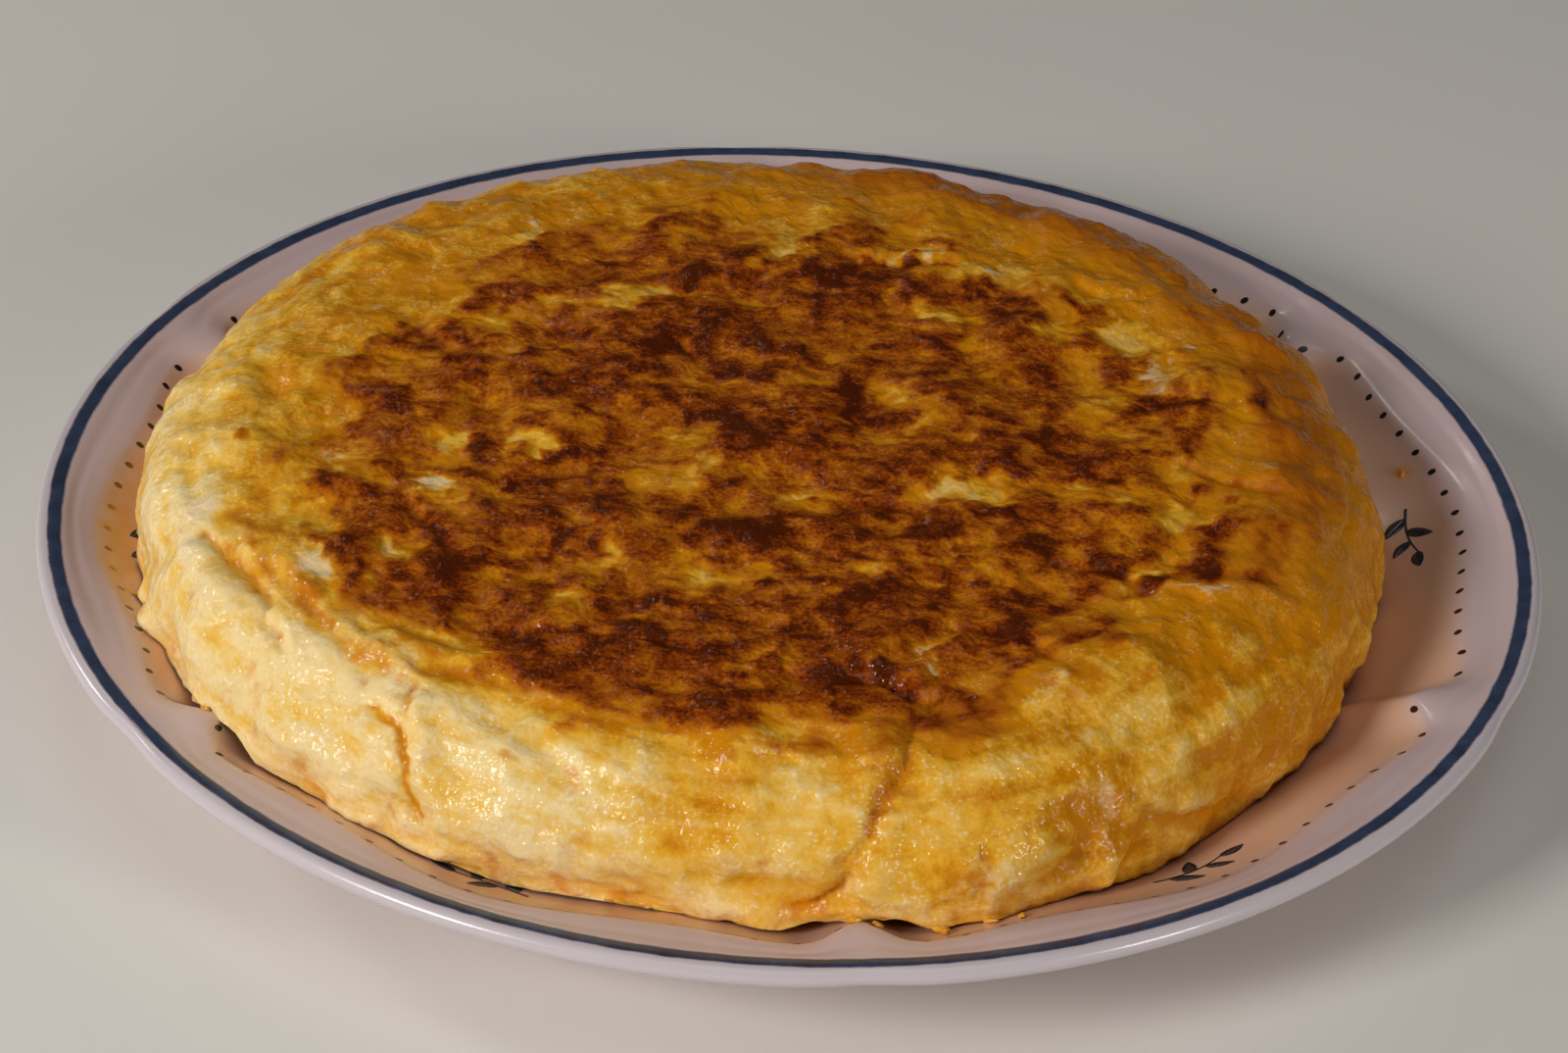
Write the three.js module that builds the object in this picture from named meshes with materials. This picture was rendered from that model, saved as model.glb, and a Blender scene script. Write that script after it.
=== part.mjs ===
// A Spanish omelette (tortilla de patatas) served whole on a round earthenware plate.
// Units are millimetres, +Z is up, and the origin is on the table under the middle of the plate.
// -Y is the side that faces the diner. Both pieces are lathed forms whose vertices are then moved
// by small functions: six scalloped lobes on the plate, and lumps, creases and tabs on the omelette.
import * as THREE from "three";
import { mergeVertices } from "three/addons/utils/BufferGeometryUtils.js";

// ---- Plate: driving dimensions ----
const PLATE_RADIUS = 135;
const PLATE_HEIGHT = 24; // table to the crest of the rim
const LIP_RADIUS = 1.7; // the rolled edge
const LIP_STEPS = 5;
const FLOOR_RADIUS = 82;
const FLOOR_HEIGHT = 6.8; // table to the eating surface
const WALL_CURVE = 1.9; // exponent of the well's wall: 1 is a cone
const WALL_STEPS = 7;
const EDGE_RADIUS = 124.4; // scalloped line where the wall meets the rim, at the middle of a lobe
const EDGE_HEIGHT = 20.6;
const WALL_THICKNESS = 4.6;
const FOOT_OUTER_RADIUS = 79;
const FOOT_WIDTH = 4.5;
const FOOT_HEIGHT = 2.4;
const PLATE_COLUMNS = 108;

// ---- Plate: lobes ----
const LOBES = 6;
const LOBE_TURN = THREE.MathUtils.degToRad(6.85); // azimuth of the middle of the first lobe
const LOBE_START = 95; // radius on the wall where the lobes begin to shape it
const LOBE_FULL = 114.4; // radius from which they shape it fully
const LOBE_DIP = 3.2; // how far the scalloped line draws in a quarter of the way round a lobe
const CUSP_DEPTH = 6.5; // how far the tongue between two lobes reaches in
const CUSP_HALF_ANGLE = THREE.MathUtils.degToRad(2.7);
const NOTCH_DEPTH = 0.7; // small dent of the outer edge at each joint of two lobes
const NOTCH_HALF_ANGLE = THREE.MathUtils.degToRad(3);
const NOTCH_START = 128; // radius where the dent begins
const COLUMN_CROWDING = 0.55; // columns stand closer at the joints: 0 is evenly

// ---- Omelette: driving dimensions ----
const OMELETTE_RADIUS = 111.6; // at its widest
const OMELETTE_CENTRE = new THREE.Vector2(-5, -0.3);
const OMELETTE_TOP = 41;
const TOP_DOME = 1.2; // rise of the middle over the edge of the top
const TOP_FLAT_RADIUS = 84; // where the rounded shoulder begins
const WIDEST_HEIGHT = 20.5;
const SHOULDER_FULLNESS = 2.25; // 2 is an ellipse, more is squarer
const SHOULDER_STEPS = 13;
const UNDERCUT = 1.3; // how far the skin tucks in under the widest line
const CONTACT_HEIGHT = 13.2; // where the skin meets the plate's wall
const PLATE_GAP = 0.4; // clearance between omelette and plate
const SKIN_GAP = 0.7; // least clearance of the skin's own rows
const LEVEL_RADIUS = 30; // within it the outline's bulges don't reach
const REST_REACH = THREE.MathUtils.degToRad(3); // how far round the skin spans a tongue of the plate
const LUMP_COUNT = 110; // pieces of potato that swell the skin
const LUMP_HEIGHT = 0.75;
const LUMP_HALF_WIDTH = 6.5;
const SKIN_LENGTH = 130; // from the middle of the top to the plate
const SHOULDER_LENGTH = 38; // of that, from the edge of the top to the widest line
const OMELETTE_COLUMNS = 138;

const degrees = THREE.MathUtils.degToRad;
const bell = (distance, halfWidth) => Math.exp(-((distance / halfWidth) ** 2));
const { clamp, lerp, smoothstep } = THREE.MathUtils;

// Evenly spaced numbers from first to last, both included.
const stations = (first, last, steps) =>
  Array.from({ length: steps + 1 }, (_, i) => first + ((last - first) * i) / steps);

// Signed angle from azimuth to the nearest joint between two lobes.
function fromJoint(azimuth) {
  const lobe = (2 * Math.PI) / LOBES;
  const turned = azimuth - LOBE_TURN - lobe / 2;
  return turned - lobe * Math.round(turned / lobe);
}

// How far the scalloped line moves from EDGE_RADIUS at that azimuth.
function lobeShift(azimuth) {
  const angle = fromJoint(azimuth);
  const wave = 0.5 - 0.5 * Math.cos(2 * LOBES * angle);
  return -LOBE_DIP * wave - CUSP_DEPTH * bell(angle, CUSP_HALF_ANGLE);
}

// Share of the lobe's shift that a ring at that radius takes.
const lobeShare = (radius) =>
  smoothstep(radius, LOBE_START, LOBE_FULL) *
  (1 - smoothstep(radius, EDGE_RADIUS + 0.5, PLATE_RADIUS - LIP_RADIUS * 2));

// Height of the plate's eating side on an unlobed ring: the rim levels off towards its crest.
function ringHeight(radius) {
  const crestRadius = PLATE_RADIUS - LIP_RADIUS;
  if (radius <= EDGE_RADIUS) {
    const along = clamp((radius - FLOOR_RADIUS) / (EDGE_RADIUS - FLOOR_RADIUS), 0, 1);
    return FLOOR_HEIGHT + (EDGE_HEIGHT - FLOOR_HEIGHT) * along ** WALL_CURVE;
  }
  const along = clamp((radius - EDGE_RADIUS) / (crestRadius - EDGE_RADIUS), 0, 1);
  return lerp(EDGE_HEIGHT, PLATE_HEIGHT, Math.sin((along * Math.PI) / 2));
}

// Height of the lobed eating side at any point: the ring that was moved to this radius is found first.
function plateHeight(radius, azimuth) {
  let ring = radius;
  for (let pass = 0; pass < 12; pass++) ring = radius - lobeShift(azimuth) * lobeShare(ring);
  return ringHeight(ring);
}

// The plate's section, from the middle of the eating side out over the lip and back under to the middle.
function plateSection() {
  const wall = stations(FLOOR_RADIUS, EDGE_RADIUS, WALL_STEPS);
  const eatingSide = [0, 74, ...wall, EDGE_RADIUS + 2, EDGE_RADIUS + 5].map(
    (radius) => new THREE.Vector2(radius, ringHeight(radius)),
  );
  const lipRadius = PLATE_RADIUS - LIP_RADIUS;
  const lipHeight = PLATE_HEIGHT - LIP_RADIUS;
  const lip = stations(90, -60, LIP_STEPS).map((angle) => {
    const turn = degrees(angle);
    return new THREE.Vector2(lipRadius + LIP_RADIUS * Math.cos(turn), lipHeight + LIP_RADIUS * Math.sin(turn));
  });
  const under = [EDGE_RADIUS, 112, 98, FLOOR_RADIUS + 4].map(
    (radius) => new THREE.Vector2(radius, ringHeight(radius) - WALL_THICKNESS),
  );
  const footInner = FOOT_OUTER_RADIUS - FOOT_WIDTH;
  const foot = [
    new THREE.Vector2(FOOT_OUTER_RADIUS, 0),
    new THREE.Vector2(footInner, 0),
    new THREE.Vector2(footInner - 1, FOOT_HEIGHT),
    new THREE.Vector2(0, FOOT_HEIGHT),
  ];
  return { points: [...eatingSide, ...lip, ...under, ...foot], eatingRows: eatingSide.length };
}

// A section turned about +Z, with each vertex placed by shape(radius, azimuth, height, row).
function lathed(points, columns, shape) {
  const geometry = new THREE.LatheGeometry(points.slice().reverse(), columns);
  geometry.rotateX(Math.PI / 2);
  geometry.deleteAttribute("normal");
  geometry.deleteAttribute("uv");
  const position = geometry.getAttribute("position");
  const rows = points.length;
  for (let i = 0; i < position.count; i++) {
    const row = rows - 1 - (i % rows);
    // The last column is the first one again, so it takes the same azimuth.
    const column = Math.floor(i / rows) % columns;
    const azimuth = (2 * Math.PI * column) / columns;
    const placed = shape(points[row].x, azimuth, points[row].y, row);
    position.setXYZ(i, placed.x, placed.y, placed.z);
  }
  return mergeVertices(geometry, 1e-4);
}

const polar = (radius, azimuth, height) =>
  new THREE.Vector3(radius * Math.cos(azimuth), radius * Math.sin(azimuth), height);

function plateGeometry() {
  const { points, eatingRows } = plateSection();
  return lathed(points, PLATE_COLUMNS, (radius, azimuth, height, row) => {
    // Columns are turned towards the nearest joint, where the tongues are narrow.
    const crowded = azimuth - COLUMN_CROWDING * (Math.sin(LOBES * azimuth) / LOBES);
    const turned = crowded + LOBE_TURN + Math.PI / LOBES;
    const lobe = row < eatingRows ? lobeShift(turned) * lobeShare(radius) : 0;
    const notch = NOTCH_DEPTH * bell(fromJoint(turned), NOTCH_HALF_ANGLE) * smoothstep(radius, NOTCH_START, PLATE_RADIUS - 1);
    return polar(radius + lobe - notch, turned, height);
  });
}

// ---- Omelette: outline ----

// Places where the side of the omelette stands out or is pinched in: azimuth, reach and half width.
const BULGES = [
  { at: 190, reach: 0.7, halfWidth: 25 },
  { at: 224, reach: 2.6, halfWidth: 24 },
  { at: 289, reach: 4, halfWidth: 14 },
  { at: 336, reach: -1.3, halfWidth: 20 },
  { at: 62, reach: 1.4, halfWidth: 20 },
  { at: 110, reach: 0.8, halfWidth: 24 },
];

// Signed turn from one azimuth in degrees to another, between -180 and 180.
const turnBetween = (from, to) => THREE.MathUtils.euclideanModulo(to - from + 180, 360) - 180;

// How far the side stands out from the circle at that azimuth in degrees.
const outline = (azimuth) =>
  BULGES.reduce((sum, b) => sum + b.reach * bell(turnBetween(b.at, azimuth), b.halfWidth), 0);

// ---- Omelette: relief of the skin ----
// A place on the skin is [azimuth in degrees, millimetres of skin from the middle of the top].

// Creases and folds along a path. A positive height is a ridge and a negative one a valley.
const FOLDS = [
  { path: [[200, 103], [206, 101], [214, 98], [222, 98], [237, 98]], height: -1.7, halfWidth: 3.5 },
  { path: [[215, 99], [219, 102], [223, 104]], height: -1.5, halfWidth: 3.2 },
  { path: [[214, 92], [221, 93.5], [230, 94.5], [237, 94]], height: 0.9, halfWidth: 3.2 },
  { path: [[235, 104], [238, 108], [241, 114], [243, 120]], height: -2.6, halfWidth: 3.2 },
  { path: [[236, 98], [239, 106]], height: -1.4, halfWidth: 3.2 },
  { path: [[251, 103], [254, 105], [258, 111]], height: -1, halfWidth: 3.8 },
  { path: [[265, 99], [268, 102], [271, 101], [273, 97]], height: -1.3, halfWidth: 3.5 },
  { path: [[267, 84], [274, 80], [286, 79]], height: -1.3, halfWidth: 3.8 },
  { path: [[268, 80], [275, 76], [284, 74]], height: 0.9, halfWidth: 3.2 },
  { path: [[289, 84], [286, 93], [283, 99], [281, 107], [279, 113]], height: -2, halfWidth: 3.2 },
  { path: [[279, 118], [277, 123], [274, 127]], height: -2.2, halfWidth: 3.2 },
  { path: [[273, 127], [277, 129], [283, 129]], height: 3, halfWidth: 3.8 },
  { path: [[294, 121], [299, 119]], height: -2.4, halfWidth: 3.2 },
  { path: [[306, 118], [311, 123], [318, 128]], height: -1.5, halfWidth: 3.2 },
  { path: [[288, 30], [300, 40], [314, 44], [338, 48]], height: -1, halfWidth: 4 },
  { path: [[188, 87], [183, 79]], height: -1.1, halfWidth: 3.2 },
  { path: [[171, 88], [179, 84], [186, 85]], height: 0.9, halfWidth: 3.2 },
];

// Single swellings, and hollows where the height is negative.
const SWELLINGS = [
  { at: [213, 107], height: 1.3, halfWidth: 7 }, // blistered cheek below the left shoulder
  { at: [200, 123.5], height: 3, halfWidth: 4 }, // knob of egg low on the left
  { at: [215, 128], height: 2, halfWidth: 3.6 }, // flake on the plate
  { at: [178, 89], height: -2.2, halfWidth: 5 }, // hollow on the left shoulder
  { at: [234, 108], height: 0.8, halfWidth: 4.5 },
  { at: [269, 95], height: 1.1, halfWidth: 5 },
  { at: [302, 121], height: 1.4, halfWidth: 4 }, // torn flap at the front right
  { at: [290, 119], height: 1.4, halfWidth: 7 }, // slice of potato under the skin
  { at: [302, 91], height: 1, halfWidth: 5 },
  { at: [301, 102], height: 1.2, halfWidth: 6 },
  { at: [312, 96], height: 1.4, halfWidth: 7 },
  { at: [98, 97], height: -1.3, halfWidth: 6 },
  { at: [150, 96], height: -1.3, halfWidth: 6 },
  { at: [140, 97], height: 1.1, halfWidth: 6 },
];

// Potato lumps spread evenly over the whole skin by the golden angle.
const LUMPS = Array.from({ length: LUMP_COUNT }, (_, i) => ({
  at: [(i * 137.508) % 360, SKIN_LENGTH * Math.sqrt((i + 0.5) / LUMP_COUNT)],
  height: LUMP_HEIGHT * Math.sin(i * 2.4 + 1),
  halfWidth: LUMP_HALF_WIDTH * (1 + 0.35 * Math.sin(i * 1.7)),
}));

// Radius of the skin at that length from the middle of the top.
function skinRadius(length) {
  const along = clamp((length - TOP_FLAT_RADIUS) / SHOULDER_LENGTH, 0, 1);
  const shoulder = TOP_FLAT_RADIUS + (OMELETTE_RADIUS - TOP_FLAT_RADIUS) * Math.sin((along * Math.PI) / 2);
  return Math.min(length, shoulder);
}

// Across and along the skin from one length to another, for that turn between them in degrees.
function skinOffset(turn, from, to) {
  const chord = 2 * Math.sin(degrees(turn) / 2);
  return new THREE.Vector3(chord * Math.sqrt(skinRadius(from) * skinRadius(to)), to - from, 0);
}

const distanceToPoint = ([azimuth, length], at) =>
  skinOffset(turnBetween(azimuth, at[0]), length, at[1]).length();

function distanceToPath([azimuth, length], path) {
  const start = turnBetween(azimuth, path[0][0]);
  const points = path.map((point) => skinOffset(start + turnBetween(path[0][0], point[0]), length, point[1]));
  const here = new THREE.Vector3();
  const distances = points.slice(1).map((end, i) => {
    const closest = new THREE.Line3(points[i], end).closestPointToPoint(here, true, new THREE.Vector3());
    return closest.length();
  });
  return Math.min(...distances);
}

// How far the skin stands out from the plain form at that place.
function relief(place) {
  const folds = FOLDS.map((f) => f.height * bell(distanceToPath(place, f.path), f.halfWidth));
  const swellings = [...SWELLINGS, ...LUMPS].map((s) => s.height * bell(distanceToPoint(place, s.at), s.halfWidth));
  return [...folds, ...swellings].reduce((sum, height) => sum + height, 0);
}

// ---- Omelette: section ----

function omeletteSection() {
  const top = [0, 9, 18, 27, 36, 44, 52, 60, 67, 73, 79].map(
    (radius) => new THREE.Vector2(radius, OMELETTE_TOP + TOP_DOME * (1 - (radius / TOP_FLAT_RADIUS) ** 2)),
  );
  const across = OMELETTE_RADIUS - TOP_FLAT_RADIUS;
  const down = OMELETTE_TOP - WIDEST_HEIGHT;
  const shoulder = stations(90, 0, SHOULDER_STEPS).map((angle) => {
    const turn = degrees(angle);
    return new THREE.Vector2(
      TOP_FLAT_RADIUS + across * Math.abs(Math.cos(turn)) ** (2 / SHOULDER_FULLNESS),
      WIDEST_HEIGHT + down * Math.sin(turn) ** (2 / SHOULDER_FULLNESS),
    );
  });
  const tuck = [0.35, 0.7, 1].map(
    (along) => new THREE.Vector2(OMELETTE_RADIUS - UNDERCUT * along ** 2, lerp(WIDEST_HEIGHT, CONTACT_HEIGHT, along)),
  );
  const skin = [...top, ...shoulder, ...tuck];
  const under = [106, 101, 94, FLOOR_RADIUS, 0].map((radius) => new THREE.Vector2(radius, 0));
  return { points: [...skin, ...under], skinRows: skin.length };
}

// Length of the section up to each of its points.
function lengthsAlong(points) {
  const lengths = [0];
  for (let i = 1; i < points.length; i++) lengths.push(lengths[i - 1] + points[i].distanceTo(points[i - 1]));
  return lengths;
}

// Outward direction of the section at each of its points.
function sectionNormals(points) {
  return points.map((_, i) => {
    const before = points[Math.max(i - 1, 0)];
    const after = points[Math.min(i + 1, points.length - 1)];
    return new THREE.Vector2(before.y - after.y, after.x - before.x).normalize();
  });
}

// Height at which the skin rests on the plate there: the highest point of the glaze close by.
function restingHeight(at) {
  const radius = Math.hypot(at.x, at.y);
  const azimuth = Math.atan2(at.y, at.x);
  const nearby = stations(-REST_REACH, REST_REACH, 4).map((turn) => plateHeight(radius, azimuth + turn));
  return Math.max(...nearby);
}

function omeletteGeometry() {
  const { points, skinRows } = omeletteSection();
  const lengths = lengthsAlong(points);
  const normals = sectionNormals(points.slice(0, skinRows));
  return lathed(points, OMELETTE_COLUMNS, (radius, azimuth, height, row) => {
    const onSkin = row < skinRows;
    const turn = THREE.MathUtils.radToDeg(azimuth);
    const share = smoothstep(radius, LEVEL_RADIUS, OMELETTE_RADIUS);
    const out = onSkin ? relief([turn, lengths[row]]) : 0;
    const normal = onSkin ? normals[row] : new THREE.Vector2();
    const at = polar(radius + outline(turn) * share + normal.x * out, azimuth, height + normal.y * out);
    at.x += OMELETTE_CENTRE.x;
    at.y += OMELETTE_CENTRE.y;
    const rest = restingHeight(at);
    at.z = onSkin ? Math.max(at.z, rest + SKIN_GAP) : rest + PLATE_GAP;
    return at;
  });
}

// ---- Materials and scene graph ----
const glaze = new THREE.MeshStandardMaterial({ color: 0xd9cfc6, roughness: 0.18, metalness: 0 });
const egg = new THREE.MeshStandardMaterial({ color: 0xd9a441, roughness: 0.45, metalness: 0 });

function named(name, geometry, material) {
  const mesh = new THREE.Mesh(geometry, material);
  mesh.name = name;
  return mesh;
}

const dish = new THREE.Group();
dish.add(named("plate", plateGeometry(), glaze));
dish.add(named("omelette", omeletteGeometry(), egg));

export default dish;
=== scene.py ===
"""Looks of a potato omelette on its dinner plate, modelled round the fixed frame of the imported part.

Lengths in the shape functions are millimetres. Each mesh is written in metres, in the frame's own axes:
+Z up, -Y towards the diner, origin on the table under the middle of the plate.
"""

import math

import bpy
import numpy as np
from mathutils import Matrix, Vector, noise


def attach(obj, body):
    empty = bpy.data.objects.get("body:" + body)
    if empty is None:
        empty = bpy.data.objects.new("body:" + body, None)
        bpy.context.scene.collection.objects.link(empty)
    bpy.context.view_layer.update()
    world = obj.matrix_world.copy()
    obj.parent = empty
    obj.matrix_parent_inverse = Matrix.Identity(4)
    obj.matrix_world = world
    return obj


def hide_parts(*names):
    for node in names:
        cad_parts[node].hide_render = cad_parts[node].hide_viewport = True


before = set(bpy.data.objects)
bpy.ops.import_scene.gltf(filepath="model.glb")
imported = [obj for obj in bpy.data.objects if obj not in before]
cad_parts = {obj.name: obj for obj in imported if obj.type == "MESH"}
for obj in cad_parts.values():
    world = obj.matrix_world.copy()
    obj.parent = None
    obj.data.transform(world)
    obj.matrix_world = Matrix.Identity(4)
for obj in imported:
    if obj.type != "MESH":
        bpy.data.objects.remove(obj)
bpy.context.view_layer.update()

bl_info = {
    "name": "Potato omelette on a plate",
    "version": (1, 0, 0),
    "blender": (4, 5, 0),
    "location": "3D View > Sidebar > Omelette",
    "description": "Models the omelette's skin, the glazed plate, egg scraps and the studio",
    "category": "Object",
}

MM = 0.001

# ---- Plate, in millimetres ----
PLATE_RADIUS = 135
PLATE_HEIGHT = 24
LIP_RADIUS = 1.7
FLOOR_RADIUS = 82
FLOOR_HEIGHT = 6.8
WALL_CURVE = 1.9
EDGE_RADIUS = 124.4
EDGE_HEIGHT = 20.6
WALL_THICKNESS = 4.6
FOOT_OUTER_RADIUS = 79
FOOT_WIDTH = 4.5
FOOT_HEIGHT = 2.4
FOOT_ROUNDING = 0.8
LOBES = 6
LOBE_TURN = math.radians(6.85)
LOBE_START = 95  # radius on the wall where the lobes begin to shape it
LOBE_FULL = 114.4
LOBE_DIP = 3.2
LOBE_STEPS = 12  # enough to find the ring that the lobes move to a given radius
CUSP_DEPTH = 6.5
CUSP_HALF_ANGLE = math.radians(2.7)
NOTCH_DEPTH = 0.7
NOTCH_HALF_ANGLE = math.radians(3)
EDGE_RIDGE = 0.3  # soft welt along the scalloped line
EDGE_RIDGE_WIDTH = 1.5
SECOND_LINE = 4.2  # pressed line outside the scalloped one
SECOND_LINE_DEPTH = 0.22
SECOND_LINE_WIDTH = 0.75
DOTS_PER_LOBE = 19
DOT_SPACING = 6.7
# The row of dots: degrees from the nearest joint between two lobes, radius.
DOT_LINE = (
    (0, 117), (2, 120), (4, 123.2), (6, 123.6), (8, 122.6), (11, 121), (15, 120.4), (20, 121), (24, 122),
    (30, 122.7),
)
# Thin films of egg on the glaze, two of them partly painted light: the one at the left is partly egg and
# partly the omelette's painted warm reflection, the one at the front partly egg and partly painted shade by
# its foot. Azimuth and half width in degrees, radius and half width, share.
SMEARS = (
    (188, 17, 121, 5, 0.95), (14.9, 1.4, 117.9, 3, 0.9), (250, 13, 118.5, 4, 0.7),
)
NO_DOTS = 40.0  # distance from the row of dots that the underside is given
INNER_RINGS = (0, 30, 60, 74, 79)  # radii of the mesh's rings
EDGE_RINGS_IN = 6  # how far the close rings reach to both sides of the scalloped line
EDGE_RINGS_OUT = 6.5
UNDERSIDE_RINGS = (129, 124.4, 118, 112, 105, 98, 91, 86)
PLATE_COLUMNS = 504

# ---- Omelette, in millimetres ----
OMELETTE_RADIUS = 111.6
OMELETTE_CENTRE = (-5, -0.3)
OMELETTE_TOP = 41
TOP_DOME = 1.2
TOP_FLAT_RADIUS = 84
WIDEST_HEIGHT = 20.5
SHOULDER_FULLNESS = 2.25
SHOULDER_LENGTH = 38
UNDERCUT = 1.3
CONTACT_HEIGHT = 13.2
SKIN_LENGTH = 130
PLATE_GAP = 0.4
SKIN_LIFT = 0.12  # of the skin's lowest row over the glaze
REST_REACH = math.radians(3)
SKIN_COLUMNS = 360
TOP_ROWS = 30  # coarse rows in the middle of the top
SIDE_ROWS = 55  # rows whose faces are halved both ways
TOP_REACH = 42  # length of skin that the coarse rows cover
UNDER_RADII = (106, 101, 94, FLOOR_RADIUS, 0)
CREAM_AND_SHEEN_TURN = 227  # azimuth in degrees where the side is creamiest: paler egg, and painted sheen of the key light, which shines from about this side
CREAM_SHARE = 0.22  # on the upper side, and what is added low down
CREAM_LOW_SHARE = 0.74
BROWNED_SHARE = 0.65  # of the browned top where no patch changes it
DARK_SHARE = 0.45
ISLAND_SHARE = 0.85  # what an island takes away
ISLAND_SUNK = 0.7  # how far the islands lie under the crust
CREASE_ORANGE = 0.8
TOAST_AND_SHADE_TURN = 35  # azimuth of the middle of the toasted shoulder, which faces away from the key light: toasting and painted shade
TOAST_AND_SHADE_LENGTH = 97  # millimetres of skin from the middle of the top
TOAST_AND_SHADE_WIDTH = 13
TOAST_AND_SHADE_SHARE = 0.4
OUTLINE_FROM = 30  # radius where the bulges of the side begin
# Stretches of skin, by length from the middle of the top, over which these come in.
SIDE_SPAN = (76, 100)
CREAM_SPAN = (86, 104)
ORANGE_FOOT_SPAN = (116, 128)
ROUGH_FOOT_SPAN = (116, 126)
SWELL_SIZE = 20  # the noises that shape and colour the skin, from broad to fine
FORM_SIZE = 9
GRAIN_SIZE = 3.4
WARP_SIZE = 6
TOP_WARP = 2.6  # how far noise bends the patches seen from above
TURN_WARP = 0.5  # the same for folds: degrees along the rim, and millimetres of skin
LENGTH_WARP = 0.7
STREAK_SIZE = 5.2
STREAK_DRUM = 26  # a drum this narrow draws the noise out into streaks along the rim
STREAK_DROP = 1.15

# Places where the side stands out or is pinched in: azimuth, reach, half width in degrees.
BULGES = (
    (190, 0.7, 25), (224, 2.6, 24), (289, 4, 14), (336, -1.3, 20), (62, 1.4, 20), (110, 0.8, 24),
)

# A place on the skin is (azimuth in degrees, millimetres of skin from the middle of the top).
# Folds: path, height (a valley is negative) and half width.
CREASE_V = ((235, 104.5), (238, 107.5), (239.9, 111.5), (240.8, 116), (241.6, 119.5))  # the deep orange one, partly painted shade in the crease
FOLDS = (
    (CREASE_V, -1.2, 1.2),
    (((203, 102), (208, 101), (212, 99), (215, 99.5), (218, 101.5), (222, 103.5)), -1.2, 1.1),
    (((204, 105), (209, 104), (214, 102.5), (217, 104.5), (221, 106.5)), 0.6, 2.2),
    (((210, 99), (216, 96), (221, 96.5), (225, 97.5), (229, 98.5), (235, 99)), -0.75, 1.7),
    (((213, 94), (220, 93), (224, 95.5), (228, 95.5), (232, 96), (236, 96.5)), 0.8, 1.5),
    (((230, 92.5), (237, 90), (244, 87)), 0.8, 1.5),
    (((236, 95), (241, 93), (247, 92)), -0.7, 1.7),
    (((236.5, 98), (238.2, 104), (239.2, 109)), -1.1, 1.1),
    (((238.7, 102), (241, 108), (242.6, 114), (244.5, 119)), 1.1, 2.2),
    (((251, 103), (254, 105), (258, 111)), -0.9, 2.0),
    (((265, 99), (268, 102), (271, 101), (273, 97)), -1.0, 1.8),
    (((267, 84), (273, 82), (278, 78.5), (286, 78.5)), -1.1, 1.4),
    (((268, 80.5), (275, 76), (284, 74.5)), 0.9, 2.2),
    (((290, 84), (287, 90), (285.2, 96), (282.5, 104), (280.9, 110), (278.8, 116)), -1.3, 1.2),
    (((286, 86), (282.5, 92), (281, 98), (278, 105), (277.5, 111)), 0.6, 3.0),
    (((286, 79), (289, 83)), -0.9, 1.4),
    (((279, 118), (277.5, 121), (275, 125)), -2.0, 1.3),
    (((271, 127), (275, 129), (280, 129.5), (287, 128.5), (291, 127)), 2.2, 2.8),
    (((295, 122.5), (299, 120.5)), -2.4, 1.3),
    (((306, 118), (311, 123), (318, 128)), -1.3, 1.8),
    (((288, 30), (300, 40), (314, 44), (338, 48)), -0.8, 2.4),
    (((188, 87), (183, 79)), -0.9, 1.7),
    (((171, 88), (179, 84), (186, 85)), 0.7, 2.0),
)

# Swellings, and hollows where the height is negative: place, height, half width.
SWELLINGS = (
    ((213, 108), 1.5, 7), ((202, 123), 2.3, 3.1), ((216, 127), 1.8, 2.6), ((178, 89), -2.4, 5),
    ((234, 108), 0.8, 4.5), ((269, 95), 1.1, 5), ((302, 121), 1.4, 4), ((290, 119), 1.4, 7),
    ((302, 91), 1, 5), ((301, 102), 1.2, 6), ((312, 96), 1.4, 7), ((98, 97), -1.3, 6), ((301, 125), 1.4, 2),
    ((150, 96), -1.3, 6), ((140, 97), 1.1, 6), ((228, 107), -0.7, 2.2), ((232, 111), -0.7, 2.4),
    ((43, 83), -0.9, 2.2), ((292, 122), -0.5, 1.6), ((284, 122), 0.5, 4),
)

# Lumps of potato under the whole skin.
LUMP_COUNT = 110
LUMP_TURN = 137.508  # from one lump to the next, which spreads them evenly
LUMP_HEIGHT = 1.05
LUMP_HALF_WIDTH = 6.5

# How far from the omelette's middle the browning reaches: azimuth in degrees, radius.
BROWN_EDGE = (
    (0, 78), (10, 84), (20, 80), (35, 71), (48, 68), (63, 76), (78, 76), (90, 62), (100, 75), (123, 73),
    (135, 74), (150, 69), (165, 75), (180, 80), (200, 85), (212, 87), (233, 89), (246, 93), (256, 96),
    (268, 94), (282, 93), (292, 91), (305, 83), (322, 82), (336, 91), (342, 90), (350, 79),
)

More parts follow.
